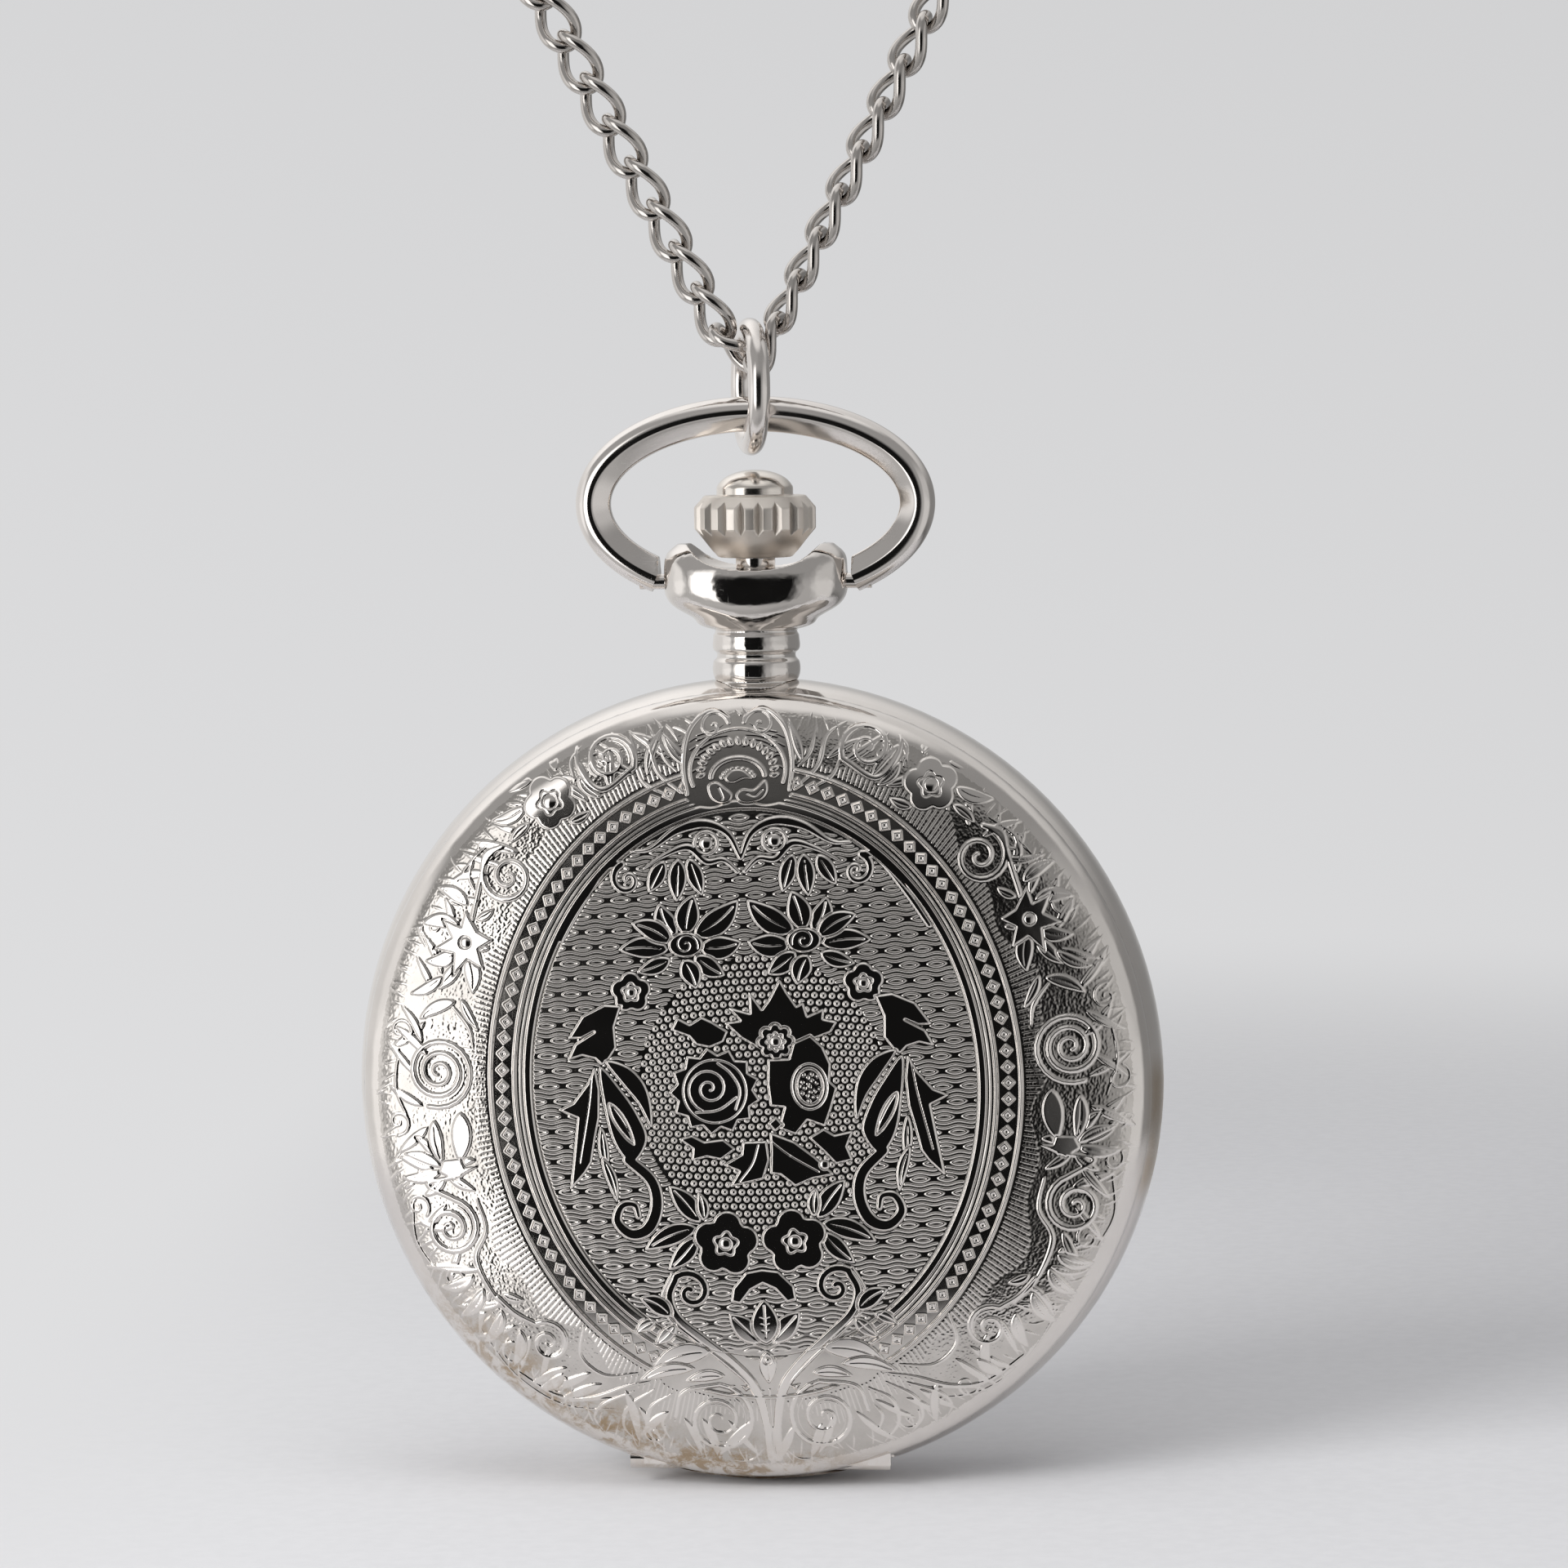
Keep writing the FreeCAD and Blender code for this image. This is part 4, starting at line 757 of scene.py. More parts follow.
# ---------------------------------------------------------------- node helpers
class Nodes:
    """Short helper for filling a node tree. Inputs take a value or an output socket."""
    def __init__(self, tree):
        self.tree = tree
        tree.nodes.clear()

    def add(self, kind, inputs=None, **settings):
        node = self.tree.nodes.new(kind)
        for name, value in settings.items():
            setattr(node, name, value)
        for key, value in (inputs or {}).items():
            socket = node.inputs[key]
            if isinstance(value, bpy.types.NodeSocket):
                self.tree.links.new(value, socket)
            else:
                socket.default_value = (*value, 1.0) if socket.type == "RGBA" else value
        return node

    def calc(self, operation, first, *others, clamp=False):
        """Applies a math operation to the values from left to right."""
        for other in others or (0.0,):
            first = self.add("ShaderNodeMath", {0: first, 1: other}, operation=operation,
                             use_clamp=clamp).outputs[0]
        return first

    def ramp(self, value, low, high, start=0.0, end=1.0, kind="SMOOTHSTEP"):
        """Goes from start to end as the value goes from low to high."""
        return self.add("ShaderNodeMapRange", {
            "Value": value, "From Min": low, "From Max": high, "To Min": start, "To Max": end},
            interpolation_type=kind).outputs["Result"]

    def split(self, vector):
        return self.add("ShaderNodeSeparateXYZ", {0: vector}).outputs

    def mix_shader(self, factor, first, second):
        return self.add("ShaderNodeMixShader", {0: factor, 1: first, 2: second}).outputs[0]

    def backdrop_color(self):
        """The pale grey wash behind the object, with painted light falloff: darker to the right
        and to the top.
        """
        x, y, _ = self.split(self.add("ShaderNodeTexCoord").outputs["Window"])
        across = self.ramp(x, 0.0, 1.0, 0.012, -0.018, kind="LINEAR")
        up = self.ramp(y, 0.0, 1.0, 0.742, 0.662, kind="LINEAR")
        return self.add("ShaderNodeVectorMath", {
            0: (0.998, 0.998, 1.010), "Scale": self.calc("ADD", across, up)},
            operation="SCALE").outputs[0]


MATERIALS = {}


class Material(Nodes):
    def __init__(self, name):
        self.material = bpy.data.materials.new(name)
        self.material.use_nodes = True
        MATERIALS[name] = self.material
        super().__init__(self.material.node_tree)
        self.output = self.add("ShaderNodeOutputMaterial")
        self.position = self.add("ShaderNodeTexCoord").outputs["Object"]

    def stretched(self, scale):
        return self.add("ShaderNodeMapping", {
            "Vector": self.position, "Scale": scale}).outputs["Vector"]

    def noise(self, scale, detail, roughness, vector=None, distortion=0.0):
        return self.add("ShaderNodeTexNoise", {
            "Scale": scale, "Detail": detail, "Roughness": roughness,
            "Distortion": distortion, "Vector": vector or self.position}).outputs["Fac"]

    def mix(self, factor, first, second):
        return self.add("ShaderNodeMix", {0: factor, 6: first, 7: second},
                        data_type="RGBA").outputs[2]

    def tinted(self, mask, base, shade):
        """The base colour, going to a darker shade of itself where the mask is high."""
        return self.mix(self.ramp(mask, 0.3, 0.75), base, tuple(c * shade for c in base))

    def bump(self, height, strength, distance=0.00002, **more):
        return self.add("ShaderNodeBump", {
            "Height": height, "Strength": strength, "Distance": distance, **more}
        ).outputs["Normal"]

    def shade(self, shader):
        self.tree.links.new(shader, self.output.inputs["Surface"])

    def principled(self, color, metallic, roughness, more):
        self.shade(self.add("ShaderNodeBsdfPrincipled", {
            "Base Color": color, "Metallic": metallic, "Roughness": roughness, **more}
        ).outputs[0])


# ---------------------------------------------------------------- materials
def rim_tarnish(mat):
    """Mask of brown bloom on the lower left rim and in thin patches at the right edge."""
    x, _, z = mat.split(mat.position)
    radius = mat.calc("SQRT", mat.calc("ADD", mat.calc("MULTIPLY", x, x),
                                       mat.calc("MULTIPLY", z, z)))
    rim = mat.ramp(radius, 0.0192, 0.0216)
    angle = mat.calc("ARCTAN2", z, x)
    low_left = mat.calc("MULTIPLY", mat.ramp(angle, -2.75, -2.2), mat.ramp(angle, -1.15, -1.65))
    right = mat.calc("MULTIPLY", mat.ramp(angle, -0.32, -0.22), mat.ramp(angle, 0.10, 0.0))
    spots = mat.ramp(mat.noise(900.0, 5, 0.75, distortion=0.4), 0.42, 0.60)
    patches = mat.ramp(mat.noise(120.0, 3, 0.6), 0.34, 0.52)
    bloom = mat.calc("MULTIPLY", mat.calc("MULTIPLY", rim, low_left),
                     mat.calc("MULTIPLY", spots, patches))
    edge = mat.ramp(radius, 0.0225, 0.0232)
    thin = mat.calc("MULTIPLY", mat.calc("MULTIPLY", edge, right),
                    mat.calc("MULTIPLY", patches, 0.8))
    return mat.calc("MULTIPLY", mat.calc("MAXIMUM", bloom, thin), 0.80, clamp=True)


def nickel(name, base=(0.80, 0.757, 0.72), rough=(0.05, 0.12), scratch=0.25, wavy=0.05,
           brushed=None, recess_shade=False, tarnish=False, matte_below=None):
    """Bright nickel plate with fine scratches, soft waves and cloudy roughness. brushed is the
    stretch of brush lines; recess_shade paints shade into the colour on the floor between the
    raised lines."""
    mat = Material(name)
    cloud = mat.noise(260.0, 4, 0.6)
    fine = mat.noise(2600.0, 3, 0.6)
    across = mat.noise(900.0, 2, 0.5, mat.stretched((1.0, 1.0, 26.0)))
    upright = mat.noise(900.0, 2, 0.5, mat.stretched((24.0, 1.0, 1.0)))
    scratches = mat.calc("MAXIMUM", mat.ramp(across, 0.66, 0.72), mat.ramp(upright, 0.67, 0.73))
    roughness = mat.ramp(cloud, 0.35, 0.70, *rough)
    roughness = mat.calc("ADD", roughness, mat.calc("MULTIPLY", scratches, 0.2 * scratch))
    color = mat.tinted(cloud, base, 0.93)
    color = mat.mix(mat.calc("MULTIPLY", scratches, 0.10), color, (0.95, 0.94, 0.93))
    height = mat.calc("ADD", mat.calc("MULTIPLY", fine, 0.20),
                      mat.calc("MULTIPLY", scratches, -0.5 * scratch))
    if brushed:
        lines = mat.noise(700.0, 2, 0.7, mat.stretched(brushed))
        height = mat.calc("ADD", height, mat.calc("MULTIPLY", lines, 1.6))
    surface = mat.bump(height, 0.16)
    normal = mat.bump(mat.noise(130.0, 2, 0.5), wavy, 0.0004, Normal=surface)
    # painted shade: the colour darkens in the hollows between the raised lines in place of
    # occluded light; the cloud noise varies it at random
    if recess_shade:
        depth = mat.add("ShaderNodeAttribute", attribute_name="recess_shade").outputs["Fac"]
        painted_hollow_shade = mat.calc("MULTIPLY", depth, mat.ramp(cloud, 0.25, 0.75, 0.30, 0.62))
        color = mat.mix(painted_hollow_shade, color, (0.40, 0.375, 0.345))
        roughness = mat.calc("ADD", roughness, mat.calc("MULTIPLY", painted_hollow_shade, 0.10))
    if tarnish:
        mask = rim_tarnish(mat)
        if recess_shade:
            mask = mat.calc("MULTIPLY", mask, mat.ramp(depth, 0.0, 0.9, 0.45, 1.0))
        color = mat.mix(mask, color, (0.36, 0.245, 0.125))
        roughness = mat.calc("ADD", roughness, mat.calc("MULTIPLY", mask, 0.22))
    if matte_below is not None:
        z = mat.split(mat.position)[2]
        matte = mat.ramp(z, matte_below + 0.00005, matte_below - 0.00005, 0.0, 0.26)
        roughness = mat.calc("ADD", roughness, matte)
    mat.principled(color, 1.0, roughness, {"Normal": normal})


def simple_metal(name, base, rough, scale=800.0, stretch=(1, 1, 1), bump=0.15):
    mat = Material(name)
    cloud = mat.noise(scale * 0.3, 4, 0.6)
    lines = mat.noise(scale, 3, 0.6, mat.stretched(stretch))
    roughness = mat.ramp(cloud, 0.3, 0.7, rough * 0.8, rough * 1.3)
    mat.principled(mat.tinted(cloud, base, 0.85), 1.0, roughness,
                   {"Normal": mat.bump(lines, bump)})


def plastic(name, base, rough, shade=0.8):
    mat = Material(name)
    cloud = mat.noise(300.0, 4, 0.6)
    fine = mat.noise(3500.0, 2, 0.6)
    roughness = mat.ramp(fine, 0.3, 0.7, rough * 0.85, rough * 1.2)
    mat.principled(mat.tinted(cloud, base, shade), 0.0, roughness,
                   {"Normal": mat.bump(fine, 0.12)})


def glass(name):
    mat = Material(name)
    roughness = mat.ramp(mat.noise(500.0, 3, 0.6), 0.4, 0.7, 0.01, 0.03)
    mat.principled((0.97, 0.98, 0.98), 0.0, roughness, {"Transmission Weight": 1.0, "IOR": 1.47})


nickel("nickel_case", tarnish=True)
# the relief plate gets painted shade in the hollows of its relief
nickel("lid_relief", rough=(0.05, 0.10), scratch=0.12, tarnish=True, wavy=0.04, recess_shade=True)
nickel("bow_metal", base=(0.82, 0.775, 0.74), rough=(0.07, 0.15), wavy=0.06)
nickel("chain_metal", base=(0.60, 0.565, 0.535), rough=(0.10, 0.18), scratch=0.06, wavy=0.02)
nickel("crown_metal", base=(0.86, 0.80, 0.735), rough=(0.13, 0.20), wavy=0.12,
       brushed=(1.0, 1.0, 30.0), matte_below=CROWN_SHOULDER * MM)
simple_metal("polished_steel", base=(0.66, 0.66, 0.67), rough=0.18)
simple_metal("spring_steel", base=(0.52, 0.53, 0.56), rough=0.26)
simple_metal("bezel_metal", base=(0.80, 0.79, 0.77), rough=0.14)
simple_metal("plate_brass", base=(0.83, 0.62, 0.30), rough=0.28, scale=900.0,
             stretch=(1, 1, 18), bump=0.3)
simple_metal("gear_brass", base=(0.86, 0.66, 0.32), rough=0.22)
simple_metal("magnet", base=(0.30, 0.30, 0.32), rough=0.35)
simple_metal("core_iron", base=(0.48, 0.47, 0.46), rough=0.35)
simple_metal("coil_copper", base=(0.78, 0.36, 0.16), rough=0.30, scale=5000.0,
             stretch=(30, 1, 1), bump=0.9)
simple_metal("cell_steel", base=(0.72, 0.72, 0.73), rough=0.24)
plastic("gasket_rubber", base=(0.03, 0.03, 0.032), rough=0.6)
plastic("ring_plastic", base=(0.82, 0.81, 0.78), rough=0.42)
plastic("board_green", base=(0.03, 0.16, 0.07), rough=0.35)
plastic("chip_black", base=(0.02, 0.02, 0.022), rough=0.35)
plastic("dial_enamel", base=(0.90, 0.89, 0.86), rough=0.28, shade=0.965)
plastic("hand_black", base=(0.012, 0.012, 0.014), rough=0.25)
plastic("dial_ink", base=(0.015, 0.015, 0.018), rough=0.5)
glass("watch_glass")


# ---------------------------------------------------------------- dressing the CAD pieces
def dress_cad_pieces():
    slot_of = {part["node"]: part.get("material_slot")
               for part in frame["record"].get("subparts", [])}
    for name, piece in frame["nodes"].items():
        material = MATERIALS.get(slot_of.get(name), MATERIALS["nickel_case"])
        if piece.data.materials:
            for slot in piece.material_slots:
                slot.link = "OBJECT"
                slot.material = material
        else:
            piece.data.materials.append(material)


def smoothing_group():
    """Welds the CAD mesh and shades it smooth across edges of up to 32 degrees."""
    group = bpy.data.node_groups.new("smooth_by_angle", "GeometryNodeTree")
    for direction in ("INPUT", "OUTPUT"):
        group.interface.new_socket("Geometry", in_out=direction,
                                   socket_type="NodeSocketGeometry")
    new, link = group.nodes.new, group.links.new
    source = new("NodeGroupInput")
    result = new("NodeGroupOutput")
    weld = new("GeometryNodeMergeByDistance")
    weld.inputs["Distance"].default_value = 2e-7
    faces = new("GeometryNodeSetShadeSmooth")
    faces.domain = "FACE"
    edges = new("GeometryNodeSetShadeSmooth")
    edges.domain = "EDGE"
    angle = new("GeometryNodeInputMeshEdgeAngle")
    compare = new("FunctionNodeCompare")
    compare.data_type = "FLOAT"
    compare.operation = "LESS_EQUAL"
    compare.inputs[1].default_value = math.radians(32)
    link(source.outputs[0], weld.inputs["Geometry"])
    link(weld.outputs[0], faces.inputs["Geometry"])
    link(faces.outputs[0], edges.inputs["Geometry"])
    link(angle.outputs["Unsigned Angle"], compare.inputs[0])
    link(compare.outputs[0], edges.inputs["Shade Smooth"])
    link(edges.outputs[0], result.inputs[0])
    return group


dress_cad_pieces()
smoothing = smoothing_group()
for cad_piece in frame["nodes"].values():
    cad_piece.modifiers.new("smooth", "NODES").node_group = smoothing


# ---------------------------------------------------------------- mesh helpers
def make_mesh(name, verts, quads, material, tris=(), smooth=True):
    mesh = bpy.data.meshes.new(name)
    quad_count, tri_count = len(quads), len(tris)
    loops = np.concatenate([np.asarray(quads, np.int32).ravel(),
                            np.asarray(tris, np.int32).ravel()])
    starts = np.concatenate([np.arange(quad_count, dtype=np.int32) * 4,
                             quad_count * 4 + np.arange(tri_count, dtype=np.int32) * 3])
    totals = np.repeat(np.array([4, 3], np.int32), [quad_count, tri_count])
    mesh.vertices.add(len(verts))
    mesh.vertices.foreach_set("co", (np.asarray(verts, np.float32) * MM).ravel())
    mesh.loops.add(len(loops))
    mesh.loops.foreach_set("vertex_index", loops)
    mesh.polygons.add(quad_count + tri_count)
    mesh.polygons.foreach_set("loop_start", starts)
    mesh.polygons.foreach_set("loop_total", totals)
    mesh.polygons.foreach_set("use_smooth", np.full(quad_count + tri_count, smooth))
    mesh.update(calc_edges=True)
    mesh.validate()
    mesh.materials.append(material)
    piece = bpy.data.objects.new(name, mesh)
    scene.collection.objects.link(piece)
    return piece


def tube_quads(ring_count, ring_size):
    """Quads between successive closed rings of points."""
    i = np.arange(ring_count * ring_size).reshape(ring_count, ring_size)
    after = np.roll(i, -1, 1)
    return np.stack([i[:-1], after[:-1], after[1:], i[1:]], -1).reshape(-1, 4)


# ---------------------------------------------------------------- cover with its relief
LID_PROFILE = np.array([  # radius, height towards the front
    (0, 13.40), (1.19, 13.39), (2.38, 13.39), (2.97, 13.38), (3.56, 13.37), (4.16, 13.36),
    (4.75, 13.35), (5.35, 13.33), (5.94, 13.32), (6.53, 13.30), (7.13, 13.28), (7.72, 13.25),
    (8.31, 13.22), (8.91, 13.19), (9.5, 13.16), (10.09, 13.13), (10.69, 13.09), (11.28, 13.05),
    (11.87, 13.01), (12.47, 12.96), (13.06, 12.91), (13.65, 12.86), (14.24, 12.79),
    (14.83, 12.72), (15.42, 12.64), (16.01, 12.55), (16.59, 12.45), (17.17, 12.33),
    (17.75, 12.21), (18.33, 12.09), (18.91, 11.96), (19.5, 11.83), (20.08, 11.70),
    (20.66, 11.55), (21.23, 11.35), (21.76, 11.10), (22.26, 10.75), (22.65, 10.31)])
LID_THICKNESS = 0.12
RELIEF_GAIN = 0.80
FIELD_A, FIELD_B = 12.80, 15.80      # half axes of the oval where field and border meet
BORDER_RADIUS = 22.45


def smooth_profile():
    """Smooths the profile so that the mirror-bright dome has no steps; the edge is kept."""
    radius = np.linspace(0, LID_PROFILE[-1, 0], 900)
    height = np.interp(radius, LID_PROFILE[:, 0], LID_PROFILE[:, 1])
    kernel = np.hanning(61)
    kernel /= kernel.sum()
    beyond = height[-1] + np.arange(1, 61) * (height[-1] - height[-2])
    extended = np.concatenate([height[60:0:-1], height, beyond])
    blurred = np.convolve(extended, kernel, "same")[60:-60]
    share = ease((LID_PROFILE[-1, 0] - radius) / 0.8)
    return radius, height * (1 - share) + blurred * share


relief = draw_relief()
lid_radii, lid_heights = smooth_profile()


def sample_relief(x, z):
    across = np.clip((x + RELIEF_HALF) / RELIEF_STEP, 0, relief.shape[1] - 1.001)
    up = np.clip((z + RELIEF_HALF) / RELIEF_STEP, 0, relief.shape[0] - 1.001)
    i, j = up.astype(int), across.astype(int)
    u, v = up - i, across - j
    return (relief[i, j] * (1 - u) * (1 - v) + relief[i + 1, j] * u * (1 - v)
            + relief[i, j + 1] * (1 - u) * v + relief[i + 1, j + 1] * u * v)


def lid_top(x, z):
    """Points of the outer skin. It sinks into the CAD cover near the rim."""
    radius = np.hypot(x, z)
    lift = -0.02 + 0.05 * ease((22.35 - radius) / 0.6)
    fade = ease((22.36 - radius) / 0.35)
    height = (np.interp(radius, lid_radii, lid_heights) + lift
              + RELIEF_GAIN * fade * sample_relief(x, z))
    return np.stack([x, -height, z], -1).reshape(-1, 3)


def lid_under(x, z):
    height = np.interp(np.hypot(x, z), lid_radii, lid_heights) - LID_THICKNESS
    return np.stack([x, -height, z], -1).reshape(-1, 3)


def finish_lid_part(piece, x, z, total):
    """Stores how deep each top point lies between the raised lines, for the painted shade and the
    tarnish in the material.
    """
    values = np.zeros(total, np.float32)
    values[:x.size] = ease((0.055 - sample_relief(x.ravel(), z.ravel())) / 0.05)
    attribute = piece.data.attributes.new("recess_shade", "FLOAT", "POINT")
    attribute.data.foreach_set("value", values)
    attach(piece, "front_cover")


def build_lid_field():
    """The oval field: a square grid trimmed to the oval, with a skirt and a closed back."""
    step = 0.040
    columns = np.arange(-FIELD_A - step, FIELD_A + step * 1.5, step)
    rows = np.arange(-FIELD_B - step, FIELD_B + step * 1.5, step)
    grid_x, grid_z = np.meshgrid(columns, rows)
    middle_x = 0.5 * (grid_x[:-1, :-1] + grid_x[1:, 1:])
    middle_z = 0.5 * (grid_z[:-1, :-1] + grid_z[1:, 1:])
    inside = (middle_x / FIELD_A) ** 2 + (middle_z / FIELD_B) ** 2 < 0.9975
    i = np.arange(grid_x.size).reshape(grid_x.shape)
    quads = np.stack([i[:-1, :-1], i[:-1, 1:], i[1:, 1:], i[1:, :-1]], -1)[inside]
    # edges used by one quad only are the rim
    edges = np.concatenate([quads[:, [k, (k + 1) % 4]] for k in range(4)])
    keys = np.sort(edges, 1) @ np.array([grid_x.size, 1])
    _, first, counts = np.unique(keys, return_index=True, return_counts=True)
    rim_edges = edges[first[counts == 1]]
    used = np.unique(quads)
    renumber = np.full(grid_x.size, -1)
    renumber[used] = np.arange(len(used))
    quads, rim_edges = renumber[quads], renumber[rim_edges]
    field_x, field_z = grid_x.ravel()[used], grid_z.ravel()[used]
    # rim points are pulled onto the oval
    rim = np.unique(rim_edges)
    pull = 1 / np.sqrt((field_x[rim] / FIELD_A) ** 2 + (field_z[rim] / FIELD_B) ** 2)
    field_x[rim] *= pull
    field_z[rim] *= pull
    x, z = to_lid(OVAL_X + field_x, OVAL_Z + field_z)
    centre_x, centre_z = to_lid(OVAL_X, OVAL_Z)
    back_height = np.interp(20.0, lid_radii, lid_heights) - LID_THICKNESS
    verts = np.concatenate([lid_top(x, z), lid_under(x[rim], z[rim]),
                            [[centre_x, -back_height, centre_z]]])
    below = np.full(len(x), -1)
    below[rim] = len(x) + np.arange(len(rim))
    start, end = rim_edges.T
    skirt = np.stack([end, start, below[start], below[end]], 1)
    back = np.stack([below[end], below[start], np.full(len(start), len(verts) - 1)], 1)
    field = make_mesh("lid_relief_field", verts, np.concatenate([quads, skirt]),
                      MATERIALS["lid_relief"], back)
    finish_lid_part(field, x, z, len(verts))


def build_lid_border():
    """From the oval out to the polished rim, denser near the oval, with a closed back."""
    around, steps = ((2300, 215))
    t = np.linspace(0, 2 * np.pi, around, endpoint=False)
    inner_x, inner_z = to_lid(OVAL_X + FIELD_A * np.cos(t), OVAL_Z + FIELD_B * np.sin(t))
    angle = np.arctan2(inner_z, inner_x)
    outer_x, outer_z = BORDER_RADIUS * np.cos(angle), BORDER_RADIUS * np.sin(angle)

    def between(share):
        share = share[:, None]
        return inner_x * (1 - share) + outer_x * share, inner_z * (1 - share) + outer_z * share

    near = int(steps * 0.44)
    x, z = between(np.concatenate([np.linspace(0, 0.36, near, endpoint=False),
                                   np.linspace(0.36, 1, steps - near)]))
    back_rows = 8
    verts = np.concatenate([lid_top(x, z), lid_under(*between(np.linspace(1, 0, back_rows)))])
    # the rings run outward over the top and inward along the back to the first one
    rings = np.arange((steps + back_rows) * around).reshape(-1, around)
    rings = np.concatenate([rings, rings[:1]])
    after = np.roll(rings, -1, 1)
    quads = np.stack([rings[:-1], rings[1:], after[1:], after[:-1]], -1).reshape(-1, 4)
    border = make_mesh("lid_relief_border", verts, quads, MATERIALS["lid_relief"])
    finish_lid_part(border, x, z, len(verts))


build_lid_field()
build_lid_border()

# ---------------------------------------------------------------- crown
CROWN_PROFILE = [  # radius, z, from the bore at the bottom to the tip
    (1.05, 30.5), (2.05, 30.5), (2.15, 30.53), (2.22, 30.60), (2.34, 30.74), (2.45, 30.85),
    (2.75, 31.22), (3.05, 31.60), (3.40, 32.02), (3.46, 32.08), (3.53, 32.18), (3.53, 33.34),
    (3.50, 33.42), (3.40, 33.54), (2.98, 34.03), (2.90, 34.075), (2.30, CROWN_SHOULDER),
    (2.25, 34.11), (2.225, 34.16), (2.225, 34.50), (2.20, 34.60), (2.08, 34.78), (1.92, 34.96),
    (1.75, 35.10), (1.50, 35.24), (1.22, 35.36), (0.90, 35.455), (0.55, 35.52),
    (0.25, 35.545), (0.04, 35.55)]
BORE_RADIUS, BORE_TOP = CROWN_PROFILE[0][0], 32.9
FLUTES, FLUTE_POINTS = 20, 30


def build_crown():
    profile = [CROWN_PROFILE[0]]
    for (r0, z0), (r1, z1) in zip(CROWN_PROFILE, CROWN_PROFILE[1:]):
        count = max(1, int(math.hypot(r1 - r0, z1 - z0) / 0.075))
        profile += [(r0 + (r1 - r0) * k / count, z0 + (z1 - z0) * k / count)
                    for k in range(1, count + 1)]
    radius, height = np.array(profile).T[:, :, None]
    share = np.linspace(-0.5, 0.5, FLUTE_POINTS, endpoint=False)
    angle = np.concatenate([(k + 0.5 + share) * 2 * np.pi / FLUTES for k in range(FLUTES)])
    # V-shaped flutes: each is deepest at its own middle
    off = np.tile(share, FLUTES) * 2 * np.pi / FLUTES
    flute = 3.21 / (np.cos(off) - 1.02 * np.abs(np.sin(off)))
    fluted = (height > 31.65) & (height < 33.95)
    radius = np.where(fluted, np.minimum(radius, flute), radius)
    rings, size = radius.shape
    skin = np.stack([radius * np.cos(angle), CROWN_Y + radius * np.sin(angle),
                     np.broadcast_to(height, radius.shape)], -1).reshape(-1, 3)
    bore = np.stack([BORE_RADIUS * np.cos(angle), CROWN_Y + BORE_RADIUS * np.sin(angle),
                     np.full(size, BORE_TOP)], 1)
    verts = np.concatenate([skin, bore, [[0, CROWN_Y, 35.552], [0, CROWN_Y, BORE_TOP]]])
    low = np.arange(size)
    top, bore_rim = low + (rings - 1) * size, low + len(skin)
    tip, roof = len(verts) - 2, len(verts) - 1
    bore_wall = np.stack([low, bore_rim, np.roll(bore_rim, -1), np.roll(low, -1)], 1)
    tris = np.concatenate([np.stack([top, np.roll(top, -1), np.full(size, tip)], 1),
                           np.stack([bore_rim, np.full(size, roof), np.roll(bore_rim, -1)], 1)])
    crown = make_mesh("crown_fluted", verts, np.concatenate([tube_quads(rings, size), bore_wall]),
                      MATERIALS["crown_metal"], tris)
    crown.data.set_sharp_from_angle(angle=math.radians(24))
    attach(crown, "crown")
    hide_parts("crown")


# ---------------------------------------------------------------- bow
# Half section of the bow: away from the bow's centre, along +Y; in half thicknesses.
# It is round outside, with a flat face looking inward on the front and on the back.
BOW_SECTION = [(1.0, 0.0), (0.985, 0.16), (0.93, 0.36), (0.82, 0.57), (0.66, 0.76), (0.46, 0.90),
               (0.24, 0.975), (0.06, 0.985), (-0.06, 0.955), (-0.20, 0.875), (-0.52, 0.66),
               (-0.84, 0.44), (-0.95, 0.35), (-0.995, 0.24), (-1.0, 0.12)]
BOW_A, BOW_B, BOW_Z = 9.45, 5.18, 33.6    # half axes and centre height of its centre line
BOW_HALF_THICKNESS = 2.05 / 2
BOW_OPENING = 5.66                        # half gap between the ends of the centre line
BOW_END_CUT = 5.62                        # the ends close against flat cuts at this |x|


